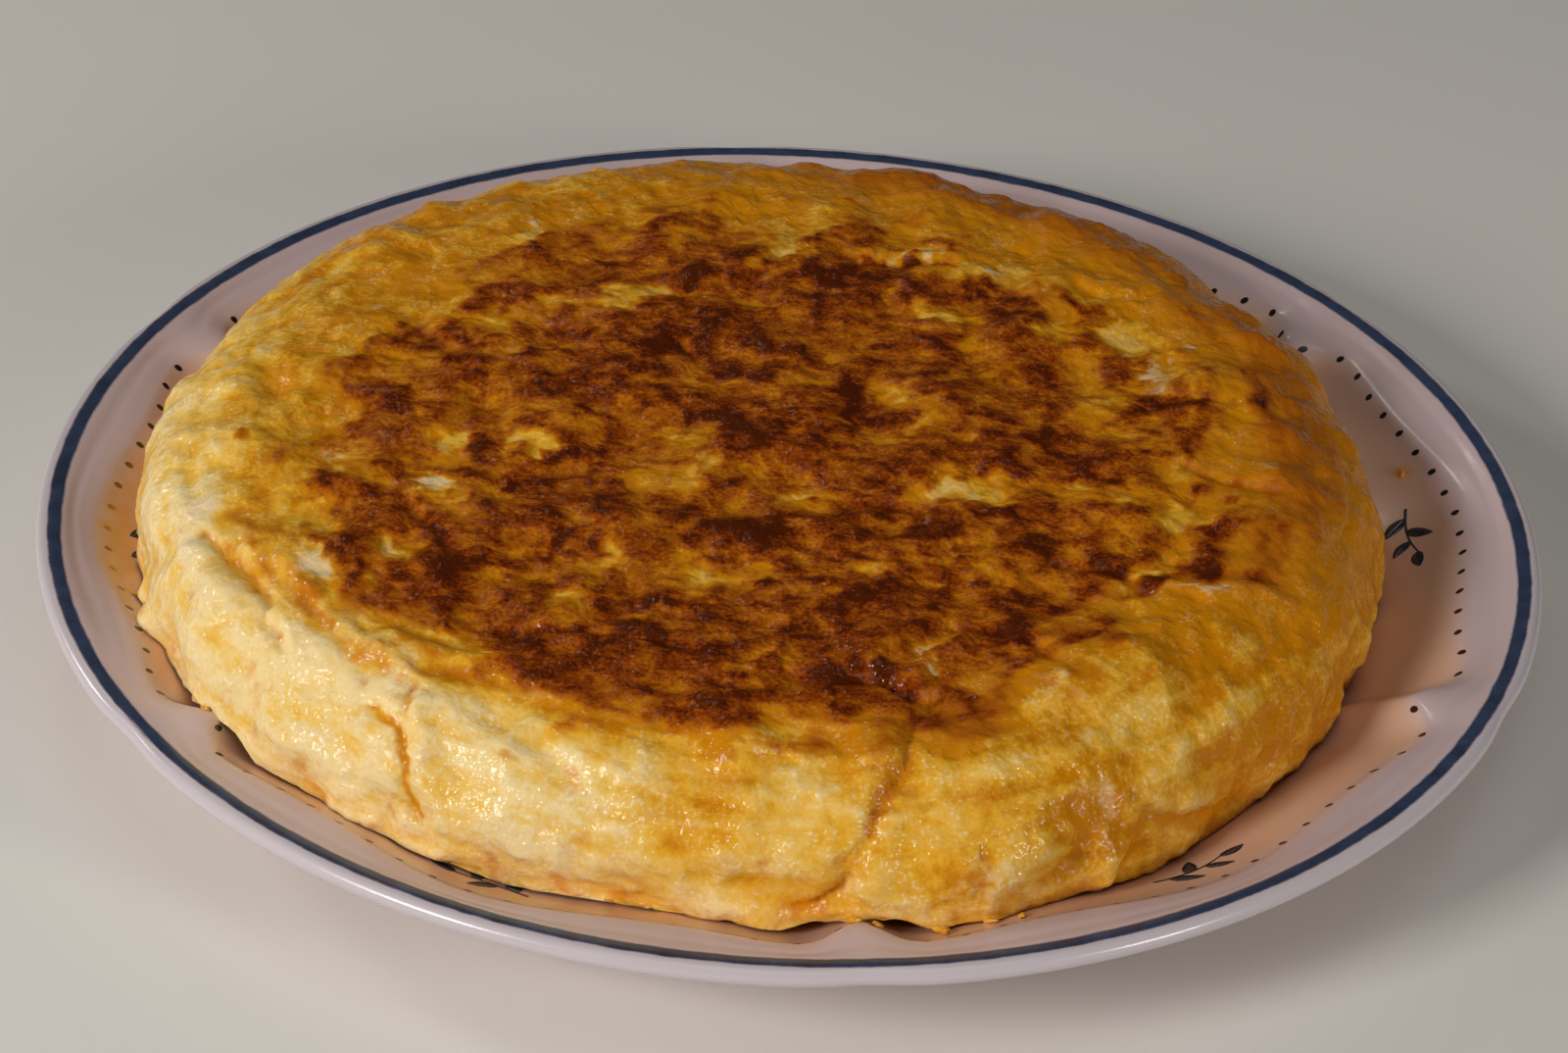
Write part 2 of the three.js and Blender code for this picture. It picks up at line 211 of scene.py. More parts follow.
# Pale islands in the browning, seen from above: x, y, half length, half width, turn in degrees, share.
PALE_ISLANDS = (
    (-47, -13, 5, 2.8, 90, 1), (-62, -28, 6, 3, -40, 1), (-67, -49, 6, 3.4, 80, 1),
    (-61, -13, 7, 4.5, 80, 0.9), (-19, -9, 5, 6, 0, 0.6), (-22, -24, 7, 4, 0, 0.6), (-40, -4, 6, 4, 0, 0.5),
    (-7, -17, 4, 3, 0, 0.25), (2, -26, 5, 3.4, 5, 0.8), (-13, -52, 8, 4.4, 10, 0.65),
    (-79, -53, 7, 3, -45, 1), (-8, -49, 3, 2, 0, 0.4), (-30, -46, 6, 3, 80, 0.55),
    (-20, -63, 9, 1.4, 5, 0.5), (-78, -41, 6, 4, 40, 0.4), (-45, -46, 6, 2.6, 15, 0.2),
    (-48, -55, 4, 3, 0, 0.3), (-35, -60, 9, 2.4, 72, 0.6), (-88, -33, 6, 6, 40, 0.5),
    (-53, -75, 11, 1.7, -17, 0.8), (-3, -72, 5, 2, 10, 0.6), (-6, -80, 7, 2.4, 8, 0.7),
    (-72, -66, 10, 1.6, -47, 0.6), (-49, -3, 4.5, 4, 0, 0.4), (-33, 39, 9, 4.4, 22, 1.3),
    (-16, -19, 6, 3.2, -30, 0.68), (-54, -27, 4, 3, 0, 0.4), (-22, -36, 4, 5, 0, 0.45),
    (-8, 56, 7, 2.2, 72, 0.7), (-3, 1, 3, 3, 0, 0.5), (-82, -20, 4, 5, 90, 0.5), (-47, 37, 5, 3.4, 60, 0.7),
    (-58, 27, 7, 4, 10, 0.7), (-51, 21, 4, 3, 0, 0.5), (-76, 20, 5, 4, 0, 0.5), (-45, 13, 4, 3, 40, 0.3),
    (-15, 13, 5, 3, 20, 0.15), (-70, 13, 6, 4.5, 0, 0.6), (-24, 71, 4, 4, 0, 0.5), (-10, 41, 4, 2, 0, 0.5),
    (-2, 63, 10, 4, 72, 1), (-53, 60, 6, 3, 80, 0.8), (-51, 45, 4, 3, 0, 0.4), (-35, 66, 4, 3, 0, 0.6),
    (25, 38, 3.8, 4, 0, 1.1), (45, 35, 6, 3.4, 40, 0.9), (61, 36, 6, 5, 0, 0.9), (20, 61, 9, 2, 3, 1),
    (35, 56, 9, 4, -10, 0.9), (17, 10, 3.6, 4, 60, 0.9), (27, 54, 4, 3, 0, 0.5), (22, 2, 6, 3, 95, 0.7),
    (28, 14, 7, 1.8, 35, 0.5), (54, 21, 7, 2.8, 90, 0.6), (60, -1, 9, 2.8, 3, 0.7),
    (55, 9, 8, 3.6, 75, 0.65), (66, 21, 7, 4, 60, 0.9), (62, 33, 5, 4, 0, 0.8), (75, 20, 6, 4, 40, 0.7),
    (31, 26, 4, 3, 0, 0.5), (22, 23, 4, 2.4, 0, 0.25), (30, -21.5, 10, 3.6, 14, 1.3),
    (37, -1, 5, 2, 0, 0.4), (51, -20.5, 5, 2.8, -30, 0.9), (59, -19, 4, 4.4, 0, 0.9),
    (32, -11, 6, 3, 0, 0.25), (72, -24, 10, 4.4, 15, 1), (16, -8, 4, 3, 40, 0.5), (15, -46, 5, 3, 10, 0.6),
    (35, -47, 6, 3, 0, 0.5), (24, -71, 7, 2.6, 70, 0.8), (3, -55, 6, 4, 0, 0.45),
    (26, -41, 7, 1.5, 38, 0.6), (63, -40, 8, 2.6, 60, 0.9), (29, -27, 4, 2, 0, 0.4),
    (66, -24, 7, 2.6, 85, 0.6), (17, -73, 4, 2.6, 10, 0.6), (0, 10, 4, 3, 30, 0.3), (56, -37, 4, 3, 0, 0.4),
    (-28, 30, 4, 2, 20, 0.3), (8, 30, 5, 3, 0, 0.25), (52, 50, 5, 4, 0, 0.6), (-25, 61, 5, 3, 70, 0.5),
    (-60, 2, 5, 3, 40, 0.35), (-30, 4, 4, 2.4, 10, 0.45), (40, 5, 5, 2, 10, 0.4), (24, -60, 3, 4, 0, 0.4),
    (72, 4, 5, 4, 60, 0.4), (-76, -22, 5, 3, 100, 0.4), (-81, 14, 5, 4, 90, 0.4),
    (-31, -69, 6, 2, -10, 0.3),
)

# Patches that browned darkest, in the same form.
DARK_PATCHES = (
    (-48, -25, 3.6, 3.6, 0, 1.4), (-55, -14, 5, 2.8, 80, 0.8), (-58, -23, 5, 1.8, 20, 0.8),
    (-12, 8, 4, 14, 3, 0.5), (-10, 14, 7, 5, 10, 0.6), (10, 13, 4.4, 8, 5, 0.8), (10, 1, 4, 5, 10, 0.5),
    (-41, 50, 8, 4, 30, 0.35), (-9, -35, 8, 5, 0, 0.45), (-42, -14, 2.6, 5, 0, 0.5),
    (-75, -33, 8, 4, 0, 0.8), (-35, -78, 9, 4, -8, 0.5), (-15, -74, 9, 3, 0, 0.4), (16, -52, 9, 5, 0, 0.4),
    (36, -54, 7, 4, 10, 0.35), (12, -38, 9, 3.4, 0, 0.3), (24, 47, 6, 4, 0, 0.35), (-25, 24, 8, 6, 0, 0.35),
    (-70, -1, 5, 5, 0, 0.5), (-64, -24, 4, 1.2, -10, 0.6), (-39, -13, 4, 2.2, -50, 0.8),
    (-43, -17, 5, 1.5, 15, 0.6), (-38, 6, 4, 7, 0, 0.8), (-13, -2, 6, 2.8, -42, 0.9),
    (11, -2, 3.6, 7, 15, 0.6), (-78, -2, 2.6, 7, 0, 0.6), (-27, 14, 3.4, 7, -10, 0.7),
    (-20, 22, 5, 3, 20, 0.5), (-6, -38, 9, 4, 10, 0.5), (-43, 24, 4.4, 3.4, 0, 0.7),
    (-29, -29, 5, 3.4, 0, 0.3), (-55, -54, 7, 4, 35, 0.55), (-48, -50, 6, 2, 10, 0.5),
    (-55, -39, 3, 4, 0, 0.6), (13, -53, 6, 3, 10, 0.6), (16, -60, 5, 3, 0, 0.5), (38, -53, 8, 3.4, 15, 0.5),
    (-42, -46, 5, 4, 0, 0.5), (70, -43, 5, 2, 15, 0.6), (49, -14, 7, 3.4, -15, 0.7),
    (-71, -54, 9, 2.8, -45, 0.9), (-20, -61, 4, 2.6, 0, 0.6), (29, -3, 4.4, 2.4, 5, 0.4),
    (45, -4, 4, 2, 0, 0.25), (22, -36, 4, 4, 0, 0.45), (14, -29, 8, 2, 0, 0.6), (-75, 2, 7, 3, -55, 0.5),
    (-67, 20, 6, 1.8, -45, 0.35), (-59, 8, 8, 1.8, -70, 0.5), (-55, -71, 7, 2, -20, 0.5),
    (-47, 55, 5, 2.2, -60, 0.5), (-36, 56, 6, 4, 40, 0.5), (-13, 70, 4, 3, 0, 0.9), (-68, 33, 5, 5, 0, 0.5),
    (24, 69, 3.6, 6, 10, 1), (8, 72, 5, 1.4, 0, 0.4), (-25, 46, 4, 5, 0, 0.6), (-27, -54, 3, 3, 0, 0.3),
    (16, 57.5, 10, 1.6, 0, 0.5), (36, 43, 6, 3, -15, 0.5), (50, 43, 5, 4, -40, 0.7), (34, 37, 3, 6, 0, 0.7),
    (43, 45, 4, 3, 0, 0.4), (6, 50, 10, 6, 10, 0.3), (51, 40, 6, 1.8, -65, 0.5), (45, 19, 4, 8, 0, 0.6),
    (72, 12, 7, 1.4, 20, 0.6), (58, 20, 3, 4, 0, 0.2), (68, -14, 5, 3, 0, 0.5), (22, 27, 5, 3, 0, 0.4),
    (33, -64, 9, 1.8, -6, 0.5), (-20, -60, 6, 4, 15, 0.4), (-37, -45, 4, 3, 60, 0.5),
    (1, -21, 6, 3, 0, 0.4), (30, 20, 7, 3, 20, 0.3), (38, 14, 6, 3.4, -10, 0.4), (-17, -70, 7, 2, -20, 0.5),
    (20, -27, 5, 2.6, 0, 0.5), (77, -34, 7, 1.6, 5, 0.2), (82, -38, 5, 1.5, 10, 0.3),
    (-50, 14, 3, 7, 10, 0.45), (37, -15, 5, 2.8, 0, 0.5), (28, -48, 6, 4, -35, 0.6),
    (35, -69, 3.4, 6, 0, 0.5), (55, -48, 7, 3, 40, 0.4), (-5, -53, 4, 3, 0, 0.3),
    (-32, -87, 12, 4, -12, 0.4), (-15, -79, 4, 2.4, 0, 0.5), (-3, -46, 5, 3, 0, 0.5),
)

# Creases and steps on the top, seen from above: path, height, half width, added browning, which in the
# valleys is partly painted shade of the crease.
TOP_CREASES = (
    (((29, -31), (32, -25), (38, -19.5)), 0.9, 1.4, 0.3),
    (((-46, -71), (-34, -69), (-23, -70), (-14, -74)), -0.9, 1.3, 0.5),
    (((-10, -82), (-2, -79), (8, -77), (17, -78), (21, -82)), -1.2, 1.5, 0.6),
    (((8, -27.5), (16, -26.5), (25, -28)), -0.7, 1.2, 0.4),
    (((-67, -32), (-62, -40), (-57, -47)), -0.8, 1.4, 0.4),
    (((45, -41), (55, -43), (61, -47)), -0.9, 1.3, 0.5),
    (((61, -47), (52, -51), (43, -58)), -0.7, 1.3, 0.5),
    (((42, -70), (50, -64), (60, -60)), -0.6, 1.4, 0.3),
    (((10, 58), (18, 57.5), (28, 58)), -0.8, 1.3, 0.4),
    (((10, 61), (19, 61.5), (29, 61)), 0.8, 1.6, 0.0),
    (((-3, 63), (-7, 54), (-10, 46)), -0.7, 1.4, 0.3),
    (((63, 10), (70, 14), (79, 14)), -0.8, 1.4, 0.3),
    (((70, -8), (76, -12), (85, -14)), -1.0, 1.5, 0.4),
    (((24, -65), (31, -62.5), (40, -65), (45, -70)), -0.8, 1.3, 0.4),
    (((22, -77), (25, -70), (30, -66)), 0.9, 1.3, 0.0),
    (((-34, -54), (-36, -62), (-40, -69)), 0.6, 1.6, 0.0),
    (((-20, -63), (-10, -63.5), (2, -66)), -0.5, 1.1, 0.4),
    (((-70, 25), (-63, 17), (-58, 6), (-56, -2)), -0.5, 1.4, 0.3),
    (((0, -40), (8, -44), (20, -44), (30, -39)), -0.5, 1.3, 0.2),
    (((65, -38), (72, -41), (83, -40)), -0.9, 1.4, 0.3),
    (((65, -45), (72, -47), (80, -44)), 0.8, 1.5, 0.0),
    (((-27, 36), (-22, 41), (-20, 48)), -0.5, 1.3, 0.3),
    (((52, 52), (57, 49.5), (64, 49)), -0.7, 1.2, 0.1),
)

# Patches of egg white near the surface, seen from above; the small ones at (-42, -56) and (34, 57) are
# painted glints.
WHITE_AND_GLINT_PATCHES = (
    (-78, -54, 6, 2.4, -45, 0.7), (-62, -28, 4, 2, -30, 0.5), (31, -21.5, 7, 1.8, 14, 0.5),
    (-60, -12, 2, 3, 0, 0.4), (-33, 39, 5, 2, 18, 0.4), (64, 24, 2, 5, -20, 0.6),
    (24, -74, 1.4, 4, -15, 0.6), (70, -47, 5, 1.5, 8, 0.9), (84, -23, 3, 2.6, 0, 0.7),
    (84, -7, 5, 2.6, -50, 0.9), (72, 31.5, 2.6, 1.6, 0, 0.9), (75, 44, 5, 2.2, -30, 0.6),
    (66, 19, 3, 6, 0, 0.7), (62, 27, 4, 1, 0, 0.6), (20, 61, 7, 1.2, 2, 0.7), (-53, 65, 1.6, 4, 0, 0.7),
    (-63, -28, 2.2, 1.6, 0, 0.8), (25, -71, 1.3, 4.4, -25, 0.8), (-42, -56, 1.6, 3, 0, 0.5),
    (-81, -18, 2, 3, 0, 0.6), (12, 80, 4, 2, 0, 0.5), (34, 57, 1.6, 2.4, 0, 0.7), (-78, 32, 2, 3, 0, 0.5),
    (62, -57, 6, 2, 5, 0.5), (45, -78, 8, 3, -20, 0.5),
)

# Patches of egg white low on the side, by place on the skin: place, half length along the rim, half width,
# share. The strong ones at (199, 101) and (204, 106) on the left front are painted sheen.
SIDE_WHITES_AND_SHEEN = (
    ((199, 101), 3.5, 5, 0.9), ((204, 106), 4, 4, 0.8), ((234, 108), 4, 3, 0.6), ((277, 103), 4, 2, 0.5),
    ((302, 112), 2.2, 6, 0.6), ((290, 119), 8, 5, 0.5), ((284, 121), 5, 4, 0.35), ((301, 101), 6, 3, 0.4),
    ((216, 90), 4, 2, 0.8), ((248, 92), 6, 2.4, 0.5), ((211, 110), 6, 4, 0.5), ((256, 122), 12, 3, 0.4),
    ((223, 94), 9, 1.4, 0.6),
)

# Orange-yellow areas: place on the skin, half length along the rim, half width, share.
ORANGES = (
    ((298, 111), 7, 6, 0.7), ((281, 98), 8, 5, 0.3), ((178, 88), 6, 5, 0.8), ((190, 94), 10, 4, 0.5),
    ((206, 99), 8, 3, 0.5), ((239.5, 119), 3, 3, 0.4), ((276, 124), 6, 5, 0.6), ((297, 120), 3, 2, 0.8),
    ((270, 108), 9, 6, 0.6), ((266, 114), 5, 3, 0.3), ((231, 97.5), 6, 2.6, 1), ((262, 116), 12, 3, 0.4),
    ((315, 120), 16, 7, 0.5), ((330, 112), 16, 8, 0.4), ((355, 108), 22, 10, 0.4), ((200, 118), 8, 4, 0.4),
    ((225, 120), 8, 3, 0.35), ((152, 98), 12, 5, 0.4),
)

# Places where the side is golden rather than creamy: place on the skin, half width, share.
GOLDEN_PLACES = (
    ((268, 105), 9, 0.45), ((282, 100), 6, 0.3), ((288, 118), 5, 0.35), ((301, 110), 9, 0.3),
)

# Light browning on the shoulder and side: place on the skin, half length along the rim, half width, share.
SIDE_BROWNS = (
    ((277, 94), 3.2, 2.4, 0.6), ((267, 106.5), 4, 1.4, 0.14), ((263, 114), 4, 1.4, 0.1),
    ((292, 91), 9, 6, 0.6), ((283, 92), 2, 6, 0.3), ((342, 92), 9, 2.2, 0.3), ((338, 96), 10, 1.6, 0.25),
    ((300, 87), 6, 2.4, 0.3), ((12, 92), 12, 1.4, 0.25), ((28, 90), 12, 1.6, 0.22),
    ((225, 88.5), 8, 2, 0.35), ((299, 112), 2, 3, 0.2), ((5, 90), 9, 3.4, 0.25),
)

# Thin lines of light browning in the folds of the left front and in the front crease: path on the skin,
# half width, share.
BROWN_LINES = (
    (((203, 102), (208, 101), (212, 99), (215, 99.5)), 1, 0.18),
    (((211, 97.5), (216, 95.5), (221, 96), (225, 96.5)), 1.8, 0.3),
    (((225, 96.5), (230, 97.2), (233, 98.3)), 2.2, 0.17), (((237, 94.5), (241, 93), (247, 91.5)), 2.2, 0.3),
    (((223, 90), (230, 91), (236, 90.5)), 2.8, 0.34), (((207, 97), (213, 94.5), (220, 93)), 1.5, 0.26),
    (((236.5, 98), (238.2, 104)), 0.8, 0.14), (((249, 94), (256, 95), (262, 93)), 2.4, 0.24),
    (((202, 97), (207, 93.5), (211, 90)), 2.2, 0.26), (((290, 84), (287, 90), (285.2, 96)), 1.2, 0.32),
    (((285.2, 96), (282.5, 104), (280.9, 110)), 1, 0.42),
)

# Bits of egg that came off on the plate: plate azimuth in degrees, radius, length, turn in degrees.
SCRAPS = (
    (276.6, 115.6, 4.2, 20), (278.6, 115.4, 3.2, -30), (283.6, 117.2, 4.6, 5), (287.6, 116.4, 3.2, 40),
    (290.2, 117, 2.6, -20), (215.5, 118.4, 3.4, 60), (196.5, 118.6, 1.6, 10), (14.9, 117.4, 2.4, 75),
)


def srgb(red, green, blue):
    """Linear colour of a colour given as 0 to 255."""
    linear = [((c / 255 + 0.055) / 1.055) ** 2.4 if c > 10 else c / 255 / 12.92 for c in (red, green, blue)]
    return (*linear, 1.0)


def bell(distance, half_width):
    return np.exp(-((distance / half_width) ** 2))


def smoothstep(value, low, high):
    share = np.clip((value - low) / (high - low), 0, 1)
    return share * share * (3 - 2 * share)


def turn_between(start, end):
    """Signed turn in degrees, between -180 and 180."""
    return (end - start + 180) % 360 - 180


def cloud(points, size, octaves, seed):
    """Fractal noise, roughly -1 to 1, whose largest forms are about that many millimetres."""
    shift = Vector((seed, 1.7 * seed, -2.3 * seed))
    places = points / size
    return np.array([noise.fractal(Vector(p) + shift, 0.8, 2.1, octaves) for p in places]) * 1.6


# ---- Form of the plate ----


def from_joint(azimuth):
    """Signed angle from an azimuth to the nearest joint between two lobes."""
    lobe = 2 * math.pi / LOBES
    turned = azimuth - LOBE_TURN - lobe / 2
    return turned - lobe * np.round(turned / lobe)


def lobe_shift(azimuth):
    """How far the scalloped line moves from EDGE_RADIUS."""
    angle = from_joint(azimuth)
    wave = 0.5 - 0.5 * np.cos(2 * LOBES * angle)
    return -LOBE_DIP * wave - CUSP_DEPTH * bell(angle, CUSP_HALF_ANGLE)


def lobe_share(radius):
    """Share of the lobe's shift that a ring of that radius takes."""
    outer = PLATE_RADIUS - 2 * LIP_RADIUS
    return smoothstep(radius, LOBE_START, LOBE_FULL) * (
        1 - smoothstep(radius, EDGE_RADIUS + 0.5, outer)
    )


def ring_height(radius):
    """Height of the eating side on a ring before the lobes move it."""
    wall = np.clip((radius - FLOOR_RADIUS) / (EDGE_RADIUS - FLOOR_RADIUS), 0, 1) ** WALL_CURVE
    crest = PLATE_RADIUS - LIP_RADIUS
    rim = np.sin(np.clip((radius - EDGE_RADIUS) / (crest - EDGE_RADIUS), 0, 1) * math.pi / 2)
    return np.where(
        radius <= EDGE_RADIUS,
        FLOOR_HEIGHT + (EDGE_HEIGHT - FLOOR_HEIGHT) * wall,
        EDGE_HEIGHT + (PLATE_HEIGHT - EDGE_HEIGHT) * rim,
    )


def ring_at(radius, azimuth):
    """The ring that the lobes move to that radius."""
    ring = radius
    for _ in range(LOBE_STEPS):
        ring = radius - lobe_shift(azimuth) * lobe_share(ring)
    return ring


def plate_height(radius, azimuth):
    return ring_height(ring_at(radius, azimuth))


def plate_section():
    """Rings of the plate from the middle of the eating side round the lip and foot to the middle below."""
    crest = PLATE_RADIUS - LIP_RADIUS
    edge_start = EDGE_RADIUS - EDGE_RINGS_IN
    edge_end = EDGE_RADIUS + EDGE_RINGS_OUT
    wall = np.linspace(FLOOR_RADIUS, edge_start, 20)[:-1]
    edge = np.linspace(edge_start, edge_end, 26)[:-1]
    rim = np.linspace(edge_end, crest, 7)[:-1]
    radii = np.concatenate([INNER_RINGS, wall, edge, rim])
    rings = [(radius, float(ring_height(radius))) for radius in radii]
    eating_rows = len(rings)
    for turn in np.radians(np.linspace(90, -70, 13)):
        lip_height = PLATE_HEIGHT - LIP_RADIUS
        rings.append((crest + LIP_RADIUS * math.cos(turn), lip_height + LIP_RADIUS * math.sin(turn)))
    for radius in UNDERSIDE_RINGS:
        rings.append((radius, float(ring_height(radius)) - WALL_THICKNESS))
    inner_foot = FOOT_OUTER_RADIUS - FOOT_WIDTH
    middle = FOOT_OUTER_RADIUS - FOOT_ROUNDING
    rings.append((FOOT_OUTER_RADIUS + 0.6, FOOT_ROUNDING + 0.8))
    for turn in np.radians(np.linspace(0, -90, 5)):
        rings.append((middle + FOOT_ROUNDING * math.cos(turn), FOOT_ROUNDING * (1 + math.sin(turn))))
    for turn in np.radians(np.linspace(-90, -180, 5)):
        rings.append((
            inner_foot + FOOT_ROUNDING * (1 + math.cos(turn)), FOOT_ROUNDING * (1 + math.sin(turn)),
        ))
    rings += [(inner_foot - 0.8, FOOT_HEIGHT), (60, FOOT_HEIGHT), (0, FOOT_HEIGHT)]
    return np.array(rings), eating_rows


def plate_points(azimuth, row, rings, eating_rows):
    """Points of the plate, and how far outside the row of dots they lie."""
    rows = np.arange(len(rings))
    radius = np.interp(row, rows, rings[:, 0])
    height = np.interp(row, rows, rings[:, 1])
    above = row < eating_rows
    welt = EDGE_RIDGE * bell(radius - EDGE_RADIUS - 0.4, EDGE_RIDGE_WIDTH)
    pressed = SECOND_LINE_DEPTH * bell(radius - EDGE_RADIUS - SECOND_LINE, SECOND_LINE_WIDTH)
    height = height + np.where(above, welt - pressed, 0)
    notch = NOTCH_DEPTH * bell(from_joint(azimuth), NOTCH_HALF_ANGLE) * smoothstep(radius, 128, 134)
    out = radius + np.where(above, lobe_shift(azimuth) * lobe_share(radius), 0) - notch
    beyond_dots = np.where(above, out - dot_radius(azimuth), NO_DOTS)
    return np.stack([out * np.cos(azimuth), out * np.sin(azimuth), height], axis=1), beyond_dots


def dot_radius(azimuth):
    """Radius of the painted row of dots, which follows the lobes more gently than the edge."""
    angle = np.degrees(np.abs(from_joint(azimuth)))
    return np.interp(angle, *zip(*DOT_LINE))


# ---- Form of the omelette ----


def skin_section():
    """Length along the skin, radius, height and outward direction of the plain form."""
    top = np.linspace(0, TOP_FLAT_RADIUS, 60)[:-1]
    turn = np.radians(np.linspace(90, 0, 80))
    across = OMELETTE_RADIUS - TOP_FLAT_RADIUS
    down = OMELETTE_TOP - WIDEST_HEIGHT
    tuck = np.linspace(0, 1, 14)[1:]
    radius = np.concatenate([
        top,
        TOP_FLAT_RADIUS + across * np.abs(np.cos(turn)) ** (2 / SHOULDER_FULLNESS),
        OMELETTE_RADIUS - UNDERCUT * tuck**2,
    ])
    height = np.concatenate([
        OMELETTE_TOP + TOP_DOME * (1 - (top / TOP_FLAT_RADIUS) ** 2),
        WIDEST_HEIGHT + down * np.sin(turn) ** (2 / SHOULDER_FULLNESS),
        WIDEST_HEIGHT + (CONTACT_HEIGHT - WIDEST_HEIGHT) * tuck,
    ])
    steps = np.hypot(np.diff(radius), np.diff(height))
    length = np.concatenate([[0], np.cumsum(steps)])
    outward = -np.gradient(height, length)
    upward = np.gradient(radius, length)
    size = np.hypot(outward, upward)
    return length, radius, height, outward / size, upward / size


def outline(turn):
    """How far the side stands out from the circle at an azimuth in degrees."""
    return sum(reach * bell(turn_between(at, turn), width) for at, reach, width in BULGES)


def skin_radius(length):
    """About how far from the middle a place lies, by its length along the skin."""
    along = np.clip((length - TOP_FLAT_RADIUS) / SHOULDER_LENGTH, 0, 1)
    shoulder = TOP_FLAT_RADIUS + (OMELETTE_RADIUS - TOP_FLAT_RADIUS) * np.sin(along * math.pi / 2)
    return np.minimum(length, shoulder)


def skin_offset(turn, start, end):
    """Across and along the skin from one length to another, for that turn in degrees."""
    chord = 2 * np.sin(np.radians(turn) / 2)
    return chord * np.sqrt(skin_radius(start) * skin_radius(end)), end - start


def distance_to_place(turn, length, place):
    """Distance along the skin to a place on it."""
    across, along = skin_offset(turn_between(turn, place[0]), length, place[1])
    return np.hypot(across, along)


def distance_to_chain(points):
    """Distance from the origin of each point's own axes to a chain of places in them."""
    nearest = np.inf
    for (ax, ay), (bx, by) in zip(points, points[1:]):
        wide, tall = bx - ax, by - ay
        share = np.clip(-(ax * wide + ay * tall) / (wide**2 + tall**2 + 1e-9), 0, 1)
        nearest = np.minimum(nearest, np.hypot(ax + share * wide, ay + share * tall))
    return nearest


def distance_to_fold(turn, length, path):
    """Distance along the skin to a path of places on it."""
    first = turn_between(turn, path[0][0])
    points = [skin_offset(first + turn_between(path[0][0], at), length, along) for at, along in path]
    return distance_to_chain(points)


def distance_to_crease(x, y, path):
    """Distance to a path as seen from above."""
    return distance_to_chain([(at_x - x, at_y - y) for at_x, at_y in path])


def patches_above(x, y, patches):
    """Summed share of patches given as seen from above."""
    total = np.zeros_like(x)
    for at_x, at_y, half_length, half_width, turn, share in patches:
        cosine, sine = math.cos(math.radians(turn)), math.sin(math.radians(turn))
        along = ((x - at_x) * cosine + (y - at_y) * sine) / half_length
        across = ((y - at_y) * cosine - (x - at_x) * sine) / half_width
        total += share * np.exp(-(np.hypot(along, across) ** 2.4))
    return total


def patches_on_side(turn, length, patches):
    """Summed share of patches given by their place on the skin."""
    total = np.zeros_like(length)
    for place, half_length, half_width, share in patches:
        across, along = skin_offset(turn_between(turn, place[0]), length, place[1])
        total += share * np.exp(-(np.hypot(across / half_length, along / half_width) ** 3))
    return total


